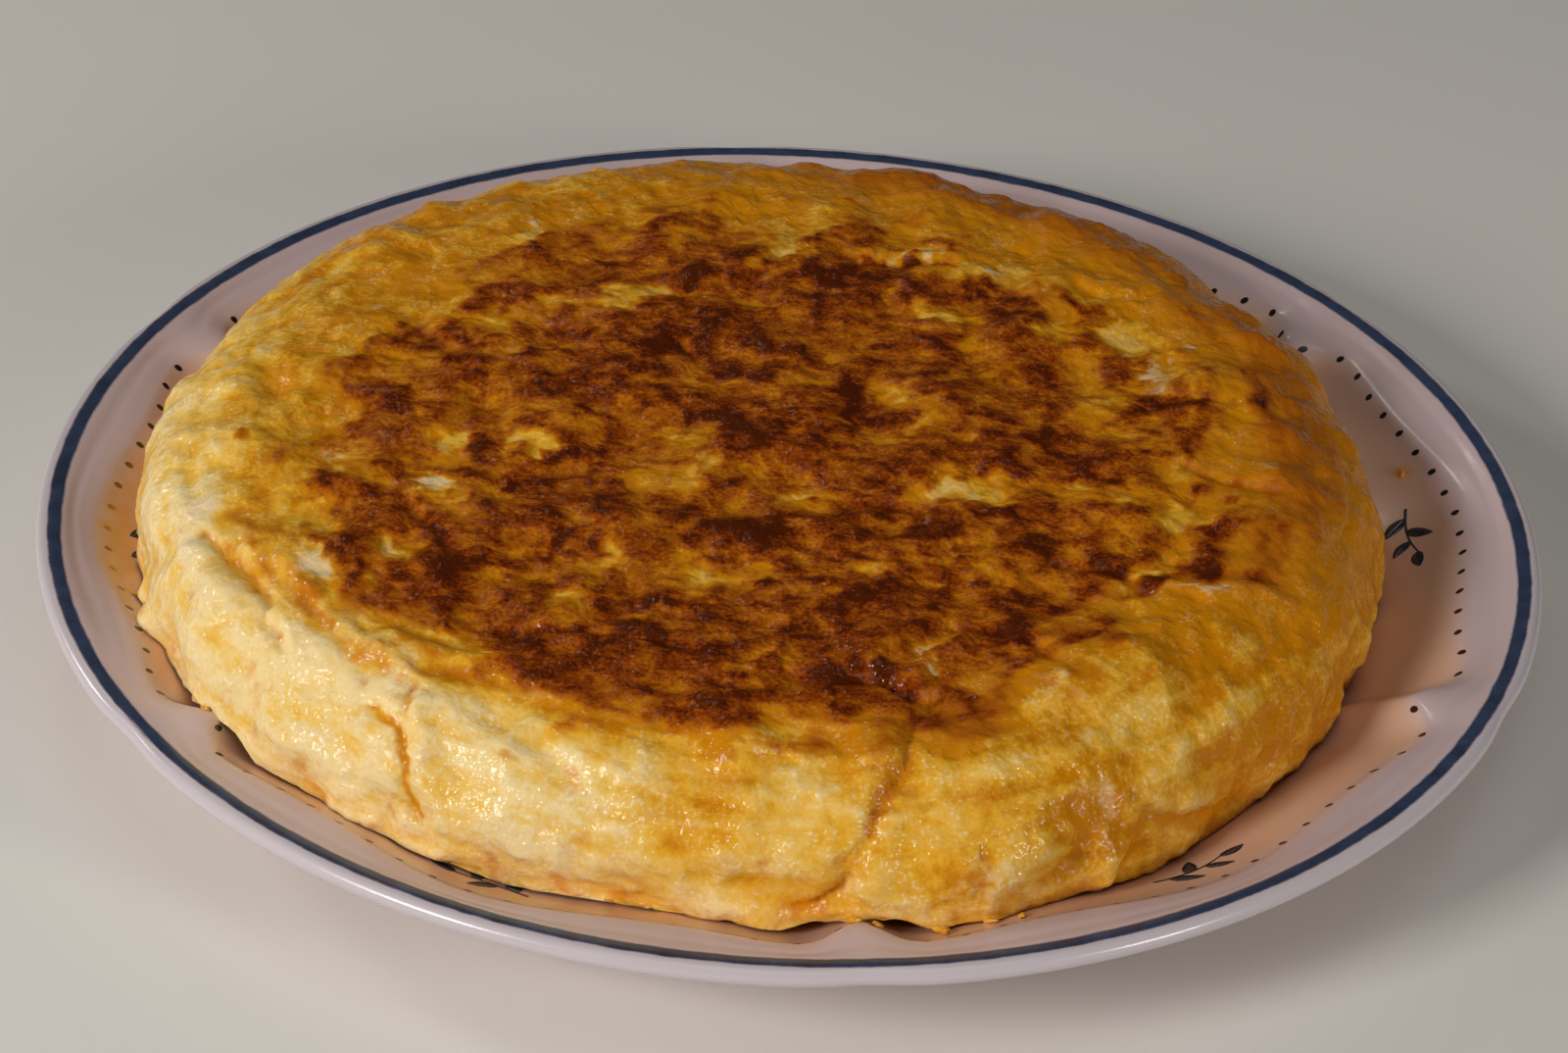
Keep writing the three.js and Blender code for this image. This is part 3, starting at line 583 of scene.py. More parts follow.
class Skin:
    """The omelette's surface at many places at once: its points and the shares of its colours."""

    def __init__(self, turn, row):
        section = skin_section()
        end = section[0][-1]
        last = TOP_ROWS + SIDE_ROWS
        self.turn = turn % 360
        self.on_skin = row <= last
        self.length = np.interp(row, (0, TOP_ROWS, last), (0, TOP_REACH, end))
        radius, height, outward, upward = (np.interp(self.length, section[0], part) for part in section[1:])
        under = np.arange(last, last + len(UNDER_RADII) + 1)
        self.radius = np.where(self.on_skin, radius, np.interp(row, under, (section[1][-1], *UNDER_RADII)))
        self.height = height
        self.outward = outward
        self.upward = upward
        azimuth = np.radians(turn)
        reach = self.radius + outline(self.turn) * smoothstep(self.radius, OUTLINE_FROM, OMELETTE_RADIUS)
        self.x = OMELETTE_CENTRE[0] + reach * np.cos(azimuth)
        self.y = OMELETTE_CENTRE[1] + reach * np.sin(azimuth)
        self.azimuth = azimuth
        self.reach = reach
        plain = np.stack([self.x, self.y, self.height], axis=1)
        self.swells = cloud(plain, SWELL_SIZE, 2, 41.0)
        self.forms = cloud(plain, FORM_SIZE, 3, 3.1)
        self.grain = cloud(plain, GRAIN_SIZE, 2, 8.4)
        warp_x = cloud(plain, WARP_SIZE, 3, 21.0)
        warp_y = cloud(plain, WARP_SIZE, 3, 34.0)
        self.top_x = self.x + TOP_WARP * warp_x
        self.top_y = self.y + TOP_WARP * warp_y
        around = (STREAK_DRUM * np.cos(azimuth), STREAK_DRUM * np.sin(azimuth))
        self.streaks = cloud(np.stack([*around, STREAK_DROP * self.length], axis=1), STREAK_SIZE, 4, 5.5)
        self.bent_turn = self.turn + TURN_WARP * warp_x
        self.bent_length = self.length + LENGTH_WARP * warp_y
        self.side = smoothstep(self.length, *SIDE_SPAN)

    def islands(self):
        return np.minimum(patches_above(self.top_x, self.top_y, PALE_ISLANDS), 1.0)

    def crust(self):
        """1 on the browned top and 0 on the side, with a ragged edge between them."""
        limit = np.interp(self.turn, *zip(*BROWN_EDGE, (360, BROWN_EDGE[0][1])))
        flat = np.hypot(self.top_x - OMELETTE_CENTRE[0], self.top_y - OMELETTE_CENTRE[1])
        return smoothstep(limit - flat + 4 * self.forms + 3 * self.swells + 5 * self.streaks, -6, 8)

    def browning(self):
        """Share of the browned crust, 0 to about 1.2, with painted shade on the shoulder facing away from
        the key light and along the creases of the top.
        """
        inside = self.crust()
        share = inside * (BROWNED_SHARE + 0.2 * self.forms + 0.08 * self.grain + 0.08 * self.swells)
        share += inside * DARK_SHARE * patches_above(self.top_x, self.top_y, DARK_PATCHES)
        share -= ISLAND_SHARE * self.islands()
        # Browning added along the creases of the top: partly browning, partly painted shade in their
        # valleys.
        for path, _, width, added in TOP_CREASES:
            share += 0.45 * added * bell(distance_to_crease(self.x, self.y, path), 1.2 * width)
        share += 0.7 * patches_on_side(self.turn, self.length + 1.5 * self.grain, SIDE_BROWNS)
        share = np.maximum(share, 0)
        for path, width, added in BROWN_LINES:
            line = bell(distance_to_fold(self.bent_turn, self.bent_length, path), width)
            share = np.maximum(share, added * line * (1 + 0.5 * self.streaks + 0.3 * self.grain))
        # The shoulder from the right to the back is darkened all the way round: partly toasting, partly
        # painted shade on the side facing away from the key light.
        away_from_key = smoothstep(np.cos(np.radians(self.turn - TOAST_AND_SHADE_TURN)), 0.1, 0.85)
        toasted = away_from_key * bell(self.length - TOAST_AND_SHADE_LENGTH, TOAST_AND_SHADE_WIDTH)
        share += toasted * (TOAST_AND_SHADE_SHARE + 0.1 * self.streaks + 0.06 * self.forms)
        return np.clip(share, 0, 1.3)

    def cream(self):
        """Share of pale, creamy egg: most on the side towards the left front, which faces the key light, so
        the paler colour there is partly painted sheen.
        """
        sheen_facing = (0.5 + 0.5 * np.cos(np.radians(self.turn - CREAM_AND_SHEEN_TURN))) ** 2.5
        low = smoothstep(self.length, *CREAM_SPAN)
        share = sheen_facing * (CREAM_SHARE + CREAM_LOW_SHARE * low) + 0.06 * self.grain + 0.08 * self.forms
        for place, width, less in GOLDEN_PLACES:
            share -= less * bell(distance_to_place(self.turn, self.length, place), width)
        share += 0.3 * (1 - self.side) * self.islands()
        # Raised forms are a little creamier and the deep crease less creamy: painted shade of the relief.
        share += self.side * (0.14 * self.streaks + 0.08 * self.forms) - 0.5 * self.deep_crease()
        return np.clip(share, 0, 1)

    def white(self):
        """Share of set egg white near the surface, with painted glints on the top and painted sheen low on
        the left front.
        """
        above = patches_above(self.top_x, self.top_y, WHITE_AND_GLINT_PATCHES)
        return np.clip(above + patches_on_side(self.turn, self.length + self.grain, SIDE_WHITES_AND_SHEEN), 0, 1)

    def deep_crease(self):
        """Share of the deep orange in the crease of the left front, partly painted shade in the crease."""
        return bell(distance_to_fold(self.bent_turn, self.bent_length, CREASE_V), 0.75)

    def orange(self):
        """Share of deeper orange-yellow egg, with painted shade as more orange in the valleys of folds and
        in dents: folds, hollows and the foot of the side.
        """
        share = 0.6 * patches_on_side(self.turn + 2 * self.grain, self.length, ORANGES)
        # The valleys of folds turn orange by their depth: partly deeper egg, partly painted shade.
        for path, height, width in FOLDS:
            if height < 0:
                valley = bell(distance_to_fold(self.bent_turn, self.bent_length, path), 0.75 * width)
                share += 0.45 * min(-height, 1.2) * valley
        # Deeper orange towards the foot, and painted shade as more orange in the dents of the side.
        foot = smoothstep(self.length, *ORANGE_FOOT_SPAN)
        share += 0.3 * foot - 0.3 * self.side * np.minimum(self.forms, 0)
        share += CREASE_ORANGE * self.deep_crease()
        return np.clip(share, 0, 1)

    def relief(self):
        """How far the skin stands out from the plain form."""
        out = np.zeros_like(self.length)
        for path, height, width in FOLDS:
            out += height * bell(distance_to_fold(self.bent_turn, self.bent_length, path), width)
        for place, height, width in SWELLINGS:
            out += height * bell(distance_to_place(self.turn, self.length, place), width)
        # Lumps and dents of all sizes, spread evenly over the skin.
        for i in range(LUMP_COUNT):
            place = ((i * LUMP_TURN) % 360, SKIN_LENGTH * math.sqrt((i + 0.5) / LUMP_COUNT))
            width = LUMP_HALF_WIDTH * (1 + 0.35 * math.sin(i * 1.7))
            height = LUMP_HEIGHT * math.sin(i * 2.4 + 1)
            out += height * bell(distance_to_place(self.turn, self.length, place), width)
        for path, height, width, _ in TOP_CREASES:
            out += height * bell(distance_to_crease(self.x, self.y, path), width)
        out += self.swells - ISLAND_SUNK * (1 - self.side) * self.islands()
        out += (1 - self.side) * (0.5 * self.forms + 0.06 * self.grain)
        out += self.side * (0.26 * self.streaks + 0.55 * self.forms + 0.09 * self.grain)
        out += smoothstep(self.length, *ROUGH_FOOT_SPAN) * (0.4 * self.forms + 0.2 * self.grain)
        return out

    def points(self):
        """Points in millimetres, clear of the plate."""
        out = np.where(self.on_skin, self.relief(), 0)
        reach = self.reach + self.outward * out
        x = OMELETTE_CENTRE[0] + reach * np.cos(self.azimuth)
        y = OMELETTE_CENTRE[1] + reach * np.sin(self.azimuth)
        radius = np.hypot(x, y)
        around = np.arctan2(y, x)
        turns = np.linspace(-REST_REACH, REST_REACH, 5)
        floor = np.max([plate_height(radius, around + turn) for turn in turns], axis=0)
        rest = np.where(self.on_skin, floor + SKIN_LIFT, floor + PLATE_GAP)
        height = np.where(self.on_skin, self.height + self.upward * out, rest)
        return np.stack([x, y, np.maximum(height, rest)], axis=1)


# ---- Modelling helpers ----


def deselect():
    if bpy.context.object and bpy.context.object.mode != "OBJECT":
        bpy.ops.object.mode_set(mode="OBJECT")
    bpy.ops.object.select_all(action="DESELECT")


def take(name):
    """Names the object that an operator has just added."""
    piece = bpy.context.object
    piece.name = name
    piece.data.name = name
    return piece


def flat_grid(name, columns, rows):
    """A flat grid, and nothing else selected."""
    deselect()
    bpy.ops.mesh.primitive_grid_add(x_subdivisions=columns, y_subdivisions=rows, size=1)
    return take(name)


def vertices_of(piece):
    flat = np.empty(len(piece.data.vertices) * 3, np.float32)
    piece.data.vertices.foreach_get("co", flat)
    return flat.reshape(-1, 3)


def grid_coordinates(piece, rows):
    """Share of the way round, and row, of each vertex of a flat grid."""
    flat = vertices_of(piece).astype(float)
    return flat[:, 0] + 0.5, (flat[:, 1] + 0.5) * rows


def halve_rows(piece, rows, first, last):
    """Subdivides the faces of some rows of a flat grid once."""
    mesh = piece.data
    centres = np.empty(len(mesh.polygons) * 3, np.float32)
    mesh.polygons.foreach_get("center", centres)
    row = (centres.reshape(-1, 3)[:, 1] + 0.5) * rows
    bpy.ops.object.mode_set(mode="EDIT")
    bpy.ops.mesh.select_mode(type="FACE")
    bpy.ops.mesh.select_all(action="DESELECT")
    bpy.ops.object.mode_set(mode="OBJECT")
    mesh.polygons.foreach_set("select", (row > first) & (row < last))
    bpy.ops.object.mode_set(mode="EDIT")
    bpy.ops.mesh.subdivide(number_cuts=1)
    bpy.ops.object.mode_set(mode="OBJECT")


def place_points(piece, points):
    """Moves the vertices to points given in millimetres."""
    piece.data.vertices.foreach_set("co", (points * MM).astype(np.float32).ravel())
    piece.data.update()


def write_share(piece, name, values):
    """Stores a number for each vertex, which the material reads."""
    layer = piece.data.attributes.new(name, "FLOAT", "POINT")
    layer.data.foreach_set("value", values.astype(np.float32))


def write_uv(piece, u, v):
    """Stores two numbers for each vertex as the UV map."""
    mesh = piece.data
    corners = np.empty(len(mesh.loops), np.int32)
    mesh.loops.foreach_get("vertex_index", corners)
    pairs = np.stack([u[corners], v[corners]], axis=1)
    mesh.uv_layers[0].data.foreach_set("uv", pairs.astype(np.float32).ravel())


def close_seams(piece, distance=1e-6):
    """Merges the seam and the poles, points the faces outwards and smooths them."""
    deselect()
    piece.select_set(True)
    bpy.context.view_layer.objects.active = piece
    bpy.ops.object.mode_set(mode="EDIT")
    bpy.ops.mesh.select_all(action="SELECT")
    bpy.ops.mesh.remove_doubles(threshold=distance)
    bpy.ops.mesh.normals_make_consistent(inside=False)
    bpy.ops.object.mode_set(mode="OBJECT")
    bpy.ops.object.shade_smooth()


def join(pieces, name):
    """Makes one piece of several."""
    deselect()
    for piece in pieces:
        piece.select_set(True)
    bpy.context.view_layer.objects.active = pieces[0]
    bpy.ops.object.join()
    return take(name)


def finish_with(piece, material):
    piece.data.materials.clear()
    piece.data.materials.append(material)


# ---- Material helpers ----


def fill(tree, node, inputs):
    """Links or sets a node's inputs."""
    for key, value in inputs.items():
        if isinstance(value, bpy.types.NodeSocket):
            tree.links.new(value, node.inputs[key])
        else:
            node.inputs[key].default_value = value


def add(tree, kind, inputs=None, **settings):
    """Adds a node, sets it, and links or sets its inputs."""
    made = tree.nodes.new(kind)
    for key, value in settings.items():
        setattr(made, key, value)
    fill(tree, made, inputs or {})
    return made


def new_material(name):
    material = bpy.data.materials.new(name)
    material.use_nodes = True
    tree = material.node_tree
    tree.nodes.clear()
    surface = add(tree, "ShaderNodeBsdfPrincipled")
    add(tree, "ShaderNodeOutputMaterial", {"Surface": surface.outputs[0]})
    return material, tree, surface


def place_of(tree):
    return add(tree, "ShaderNodeTexCoord").outputs["Object"]


def share_of(tree, name):
    return add(tree, "ShaderNodeAttribute", attribute_name=name).outputs["Fac"]


def speckle(tree, place, size, detail, roughness, distortion=0.0):
    """Noise of that size in millimetres."""
    inputs = {
        "Vector": place, "Scale": 1 / (size * MM), "Detail": detail, "Roughness": roughness,
        "Distortion": distortion,
    }
    return add(tree, "ShaderNodeTexNoise", inputs).outputs["Fac"]


def calc(tree, operation, a, b=0.0, clamp=False):
    return add(tree, "ShaderNodeMath", {0: a, 1: b}, operation=operation, use_clamp=clamp).outputs[0]


def spread(tree, value, low, high, to_low=0.0, to_high=1.0):
    inputs = {"Value": value, "From Min": low, "From Max": high, "To Min": to_low, "To Max": to_high}
    return add(tree, "ShaderNodeMapRange", inputs, interpolation_type="SMOOTHSTEP").outputs[0]


def around_zero(tree, value, amount):
    """Noise turned into a number between about minus and plus that amount."""
    return calc(tree, "MULTIPLY", calc(tree, "SUBTRACT", value, 0.5), 2 * amount)


def mixed(tree, value, *noises):
    """Adds noises to a value, each between about minus and plus its amount."""
    for made, amount in noises:
        value = calc(tree, "ADD", value, around_zero(tree, made, amount))
    return value


def blend(tree, share, under, over):
    return add(tree, "ShaderNodeMix", {0: share, 6: under, 7: over}, data_type="RGBA").outputs[2]


def ramp(tree, value, stops):
    """Colour ramp with (position, colour) stops."""
    made = add(tree, "ShaderNodeValToRGB", {0: value})
    marks = made.color_ramp.elements
    while len(marks) < len(stops):
        marks.new(0.5)
    for mark, (position, colour) in zip(marks, stops):
        mark.position = position
        mark.color = colour
    return made.outputs[0]


def weighted(tree, *parts):
    """Sum of values, each times its weight."""
    terms = [calc(tree, "MULTIPLY", value, weight) for value, weight in parts]
    total = terms[0]
    for term in terms[1:]:
        total = calc(tree, "ADD", total, term)
    return total


def bumps(tree, height, depth, strength=1.0, normal=None):
    inputs = {"Height": height, "Distance": depth * MM, "Strength": strength}
    if normal is not None:
        inputs["Normal"] = normal
    return add(tree, "ShaderNodeBump", inputs).outputs[0]


# ---- Finishes ----

RIM_STREAK_DRUM = 4.6  # radius of the drum, in noise units
RIM_STREAKS_PER_METRE = 170.0
STREAKS_FROM = 0.06  # metres from the middle, where streaks begin to take over from round forms
STREAKS_FULL = 0.09
FOAM_BEND_SIZE = 2.6
PAINT_EDGE = 0.0003  # softness of the painted band's edges, in metres
LIP_EDGE = 0.0004
BAND_DROP = 2.2  # the band is painted only on glaze this close under the top of the rim


def rim_streaks(tree, place):
    """Noise in long streaks round the rim, read on a narrow drum, and the distance from the middle."""
    centre = (OMELETTE_CENTRE[0] * MM, OMELETTE_CENTRE[1] * MM, 0)
    centred = add(tree, "ShaderNodeVectorMath", {0: place, 1: centre}, operation="SUBTRACT").outputs[0]
    parts = add(tree, "ShaderNodeSeparateXYZ", {0: centred})
    flat = add(tree, "ShaderNodeCombineXYZ", {0: parts.outputs[0], 1: parts.outputs[1]}).outputs[0]
    radius = add(tree, "ShaderNodeVectorMath", {0: flat}, operation="LENGTH").outputs["Value"]
    around = add(tree, "ShaderNodeVectorMath", {0: flat}, operation="NORMALIZE").outputs[0]
    drum = add(tree, "ShaderNodeSeparateXYZ", {0: around})
    down = calc(tree, "SUBTRACT", radius, parts.outputs[2])
    inputs = {
        0: calc(tree, "MULTIPLY", drum.outputs[0], RIM_STREAK_DRUM),
        1: calc(tree, "MULTIPLY", drum.outputs[1], RIM_STREAK_DRUM),
        2: calc(tree, "MULTIPLY", down, RIM_STREAKS_PER_METRE),
    }
    drum_place = add(tree, "ShaderNodeCombineXYZ", inputs).outputs[0]
    inputs = {"Vector": drum_place, "Scale": 1.0, "Detail": 3.0, "Roughness": 0.5, "Distortion": 0.7}
    return add(tree, "ShaderNodeTexNoise", inputs).outputs["Fac"], radius


def thread_net(tree, place, size, warp):
    """Fine pale threads round small cells, as cooked egg foams: 1 on a thread."""
    inputs = {"Vector": place, "Scale": 1 / (FOAM_BEND_SIZE * MM), "Detail": 2.0}
    bent = add(tree, "ShaderNodeTexNoise", inputs).outputs["Color"]
    middle = (0.5, 0.5, 0.5)
    shift = add(tree, "ShaderNodeVectorMath", {0: bent, 1: middle}, operation="SUBTRACT").outputs[0]
    shift = add(tree, "ShaderNodeVectorMath", {0: shift, "Scale": warp * MM}, operation="SCALE").outputs[0]
    bent_place = add(tree, "ShaderNodeVectorMath", {0: place, 1: shift}, operation="ADD").outputs[0]
    inputs = {"Vector": bent_place, "Scale": 1 / (size * MM), "Randomness": 1.0}
    cells = add(tree, "ShaderNodeTexVoronoi", inputs, feature="DISTANCE_TO_EDGE").outputs["Distance"]
    return spread(tree, cells, 0.16, 0.0)


def egg_finish(settings):
    """Moist egg skin: golden and cream streaks, orange folds, and the browned crust of the top, with
    painted glints and sheen and painted shade in the folds.
    """
    material, tree, surface = new_material("egg_skin")
    place = place_of(tree)
    fine = speckle(tree, place, 0.7, 2, 0.5)
    grain = speckle(tree, place, 2.3, 2, 0.5, 0.3)
    drawn = add(tree, "ShaderNodeVectorMath", {0: place, 1: (0.6, 1, 1)}, operation="MULTIPLY").outputs[0]
    fibres = speckle(tree, drawn, 2.4, 2, 0.5, 0.6)
    mid = speckle(tree, place, 6, 2, 0.5, 0.5)
    broad = speckle(tree, place, 16, 3, 0.5)
    net = thread_net(tree, place, 1.9, 2.2)
    streaks, radius = rim_streaks(tree, place)
    on_side = spread(tree, radius, STREAKS_FROM, STREAKS_FULL)
    streaks = add(tree, "ShaderNodeMix", {0: on_side, 2: mid, 3: streaks}, data_type="FLOAT").outputs[0]
    foamy = calc(tree, "MULTIPLY", net, spread(tree, broad, 0.42, 0.6))

    browning = share_of(tree, "browning")
    cream = mixed(tree, share_of(tree, "cream"), (streaks, 0.45))
    cream = calc(tree, "SUBTRACT", cream, calc(tree, "MULTIPLY", browning, 1.5))
    cream = mixed(tree, cream, (broad, 0.1), (mid, 0.35), (grain, 0.3), (fine, 0.2))
    cream = calc(tree, "ADD", cream, calc(tree, "MULTIPLY", foamy, 0.1))
    yellow = ramp(tree, cream, (
        (0.0, settings.golden), (0.35, settings.yellow), (0.68, settings.butter), (1.0, settings.cream),
    ))
    # Egg white blended in pale, with painted glints and sheen.
    whites_and_sheen = mixed(tree, share_of(tree, "white"), (grain, 0.5))
    yellow = blend(tree, spread(tree, whites_and_sheen, 0.3, 0.9, 0, 0.7), yellow, settings.egg_white_and_sheen)
    # Painted glints: tiny pale specks blended into the colour, most where the side faces the key light.
    painted_glints = spread(tree, mixed(tree, fine, (mid, 0.3)), 0.6, 0.74)
    glint_reach = spread(tree, share_of(tree, "cream"), 0.1, 0.7, 0.2, 0.6)
    yellow = blend(tree, calc(tree, "MULTIPLY", painted_glints, glint_reach), yellow, settings.painted_glint)
    orange = calc(tree, "ADD", share_of(tree, "orange"), around_zero(tree, mid, 0.8), clamp=True)
    orange = calc(tree, "ADD", orange, around_zero(tree, grain, 0.5), clamp=True)
    yellow = blend(tree, spread(tree, orange, 0.2, 1.1), yellow, settings.orange)

    uneven = mixed(tree, around_zero(tree, fine, 0.4), (fibres, 0.4), (streaks, 0.35), (mid, 0.35))
    ragged = calc(tree, "MULTIPLY", share_of(tree, "crust"), spread(tree, browning, 0.1, 0.55, 0.5, 0.9))
    uneven = calc(tree, "MULTIPLY", uneven, calc(tree, "ADD", ragged, 0.12))
    brown = calc(tree, "ADD", browning, uneven)
    crust = ramp(tree, brown, (
        (0.1, settings.toasted), (0.34, settings.amber), (0.54, settings.light_brown),
        (0.74, settings.brown), (1.0, settings.dark_brown),
    ))
    colour = blend(tree, spread(tree, brown, 0.02, 0.42), yellow, crust)

    height = weighted(tree, (grain, 0.25), (mid, 0.75), (streaks, 0.35))
    normal = bumps(tree, height, 1.2, 1.0)
    pebbles = calc(tree, "ADD", speckle(tree, place, 1.1, 1, 0.5), calc(tree, "MULTIPLY", fine, 0.3))
    wet = bumps(tree, pebbles, 0.32, 1.0, normal)
    fill(tree, surface, {
        "Base Color": colour,
        "Roughness": spread(tree, grain, 0.3, 0.7, 0.4, 0.55),
        "Normal": normal,
        "IOR": 1.4,
        "Specular IOR Level": 0.0,
        "Subsurface Weight": 0.16,
        "Subsurface Radius": (1.0, 0.62, 0.2),
        "Subsurface Scale": 2 * MM,
        "Coat Weight": 0.7,
        "Coat Roughness": 0.1,
        "Coat IOR": 1.42,
        "Coat Normal": wet,
    })
    return material


def glaze_finish(settings):
    """Off-white glaze with a blue band at the rim, a row of small dots and thin smears of egg, with painted
    warm reflection of the omelette inside the dots and painted light in two of the smears.
    """
    material, tree, surface = new_material("plate_glaze")
    place = place_of(tree)
    cloudy = speckle(tree, place, 30, 3, 0.5)
    fine = speckle(tree, place, 1.2, 3, 0.6)
    brush = speckle(tree, place, 5, 4, 0.6)
    parts = add(tree, "ShaderNodeSeparateXYZ", {0: place})
    flat = add(tree, "ShaderNodeCombineXYZ", {0: parts.outputs[0], 1: parts.outputs[1]}).outputs[0]
    radius = add(tree, "ShaderNodeVectorMath", {0: flat}, operation="LENGTH").outputs["Value"]
    wobble = calc(tree, "MULTIPLY", around_zero(tree, brush, 0.35), MM)
    radius = calc(tree, "ADD", radius, wobble)
    colour = ramp(tree, cloudy, ((0.3, settings.glaze), (0.75, settings.glaze_warm)))

    uv = add(tree, "ShaderNodeTexCoord").outputs["UV"]
    uv_parts = add(tree, "ShaderNodeSeparateXYZ", {0: uv})
    # Painted warm reflection of the omelette on the glaze inside the row of dots.
    glow_in_well = spread(tree, uv_parts.outputs[1], 2.5, -3.5)
    colour = blend(tree, glow_in_well, colour, settings.well_painted_glow)
    step = calc(tree, "SUBTRACT", calc(tree, "FRACT", uv_parts.outputs[0]), 0.5)
    across = calc(tree, "MULTIPLY", step, DOT_SPACING)
    beyond = mixed(tree, uv_parts.outputs[1], (brush, 0.3))
    squares = [calc(tree, "MULTIPLY", side, side) for side in (across, beyond)]
    distance = mixed(tree, calc(tree, "SQRT", calc(tree, "ADD", *squares)), (fine, 0.12))
    half_dot = settings.dot_size / MM / 2
    dot = spread(tree, distance, half_dot + 0.1, half_dot - 0.12)
    colour = blend(tree, dot, colour, settings.dot)

    inner = settings.band_radius - settings.band_width / 2
    outer = settings.band_radius + settings.band_width / 2
    band = calc(
        tree, "MULTIPLY",
        spread(tree, radius, inner - PAINT_EDGE, inner + PAINT_EDGE),
        spread(tree, radius, outer + PAINT_EDGE, outer - PAINT_EDGE),
    )
    on_top = calc(tree, "GREATER_THAN", parts.outputs[2], (PLATE_HEIGHT - BAND_DROP) * MM)
    band = calc(tree, "MULTIPLY", band, on_top)
    paint = ramp(tree, brush, ((0.3, settings.band), (0.8, settings.band_light)))
    colour = blend(tree, band, colour, paint)

    colour = blend(tree, spread(tree, radius, outer, outer + LIP_EDGE), colour, settings.lip)

    # Egg films, with painted reflection of the omelette on the left and painted shade by its foot at the
    # front.
    smear_and_painted_light = mixed(tree, share_of(tree, "smear_and_painted_light"), (brush, 0.5))
    colour = blend(tree, spread(tree, smear_and_painted_light, 0.35, 1.1, 0, 0.75), colour, settings.smear_and_painted_light)
    fill(tree, surface, {
        "Base Color": colour,
        "Roughness": spread(tree, cloudy, 0.3, 0.7, 0.2, 0.28),
        "Normal": bumps(tree, brush, 0.05, 0.5),
        "IOR": 1.5,
        "Coat Weight": 0.12,
        "Coat Roughness": 0.08,
    })
    return material


def twig_finish(settings):
    """Dark blue-black paint under glaze, a little uneven."""
    material, tree, surface = new_material("twig_paint")
    wash = speckle(tree, place_of(tree), 1.6, 4, 0.6)
    colour = ramp(tree, wash, ((0.3, settings.twig), (0.75, settings.twig_light)))
    fill(tree, surface, {"Base Color": colour, "Normal": bumps(tree, wash, 0.03, 0.5), "Roughness": 0.18})
    return material


def scrap_finish(settings):
    """Loose bits of egg: yellow, wet and uneven."""
    material, tree, surface = new_material("egg_scrap")
    place = place_of(tree)
    mottle = speckle(tree, place, 1.4, 4, 0.6)
    colour = ramp(tree, mottle, ((0.3, settings.golden), (0.55, settings.yellow), (0.8, settings.cream)))
    fill(tree, surface, {
        "Base Color": colour,
        "Normal": bumps(tree, mottle, 0.4, 0.7),
        "Roughness": 0.35,
        "Coat Weight": 0.4,
        "Coat Roughness": 0.15,
    })
    return material


def floor_finish(settings):
    material, tree, surface = new_material("pale_floor")
    cloudy = speckle(tree, place_of(tree), 160, 4, 0.5)
    r, g, b, a = settings.floor
    colour = ramp(tree, cloudy, ((0.3, (r, g, b, a)), (0.7, (0.97 * r, 0.97 * g, 0.965 * b, a))))
    fill(tree, surface, {"Base Color": colour, "Roughness": 0.6})
    return material


# ---- Settings ----


def colour_setting(name, description, default):
    return bpy.props.FloatVectorProperty(
        name=name, description=description, subtype="COLOR", size=4, min=0, max=1, default=default
    )


def number_setting(name, description, default, **kind):
    return bpy.props.FloatProperty(name=name, description=description, default=default, **kind)


def length_setting(name, description, default):
    return number_setting(name, description, default, unit="LENGTH", precision=4)


class OmeletteSettings(bpy.types.PropertyGroup):
    cream: colour_setting("Cream", "Palest egg of the side", srgb(251, 222, 160))
    butter: colour_setting("Butter", "Light yellow egg", srgb(246, 202, 104))
    yellow: colour_setting("Yellow", "Common colour of the side", srgb(237, 177, 48))
    golden: colour_setting("Golden", "Deeper egg", srgb(212, 134, 6))
    # Also the colour of the painted shade in folds and hollows.
    orange: colour_setting("Orange", "Egg in folds and hollows", srgb(220, 140, 5))
    # Also the colour of the painted glints and sheen.
    egg_white_and_sheen: colour_setting("Egg white", "Set white near the surface", srgb(242, 220, 178))
    # Colour of the painted glints on the moist skin.
    painted_glint: colour_setting("Painted_glints", "Tiny pale flecks of the moist skin", srgb(255, 240, 205))
    toasted: colour_setting("Toasted", "Where the browning begins", srgb(208, 138, 20))
    amber: colour_setting("Amber", "Crust between toasted and brown", srgb(194, 112, 14))
    light_brown: colour_setting("Light brown", "Lightly browned crust", srgb(170, 90, 10))
    brown: colour_setting("Brown", "Browned crust", srgb(140, 60, 6))
    dark_brown: colour_setting("Dark brown", "Darkest crust", srgb(84, 30, 3))


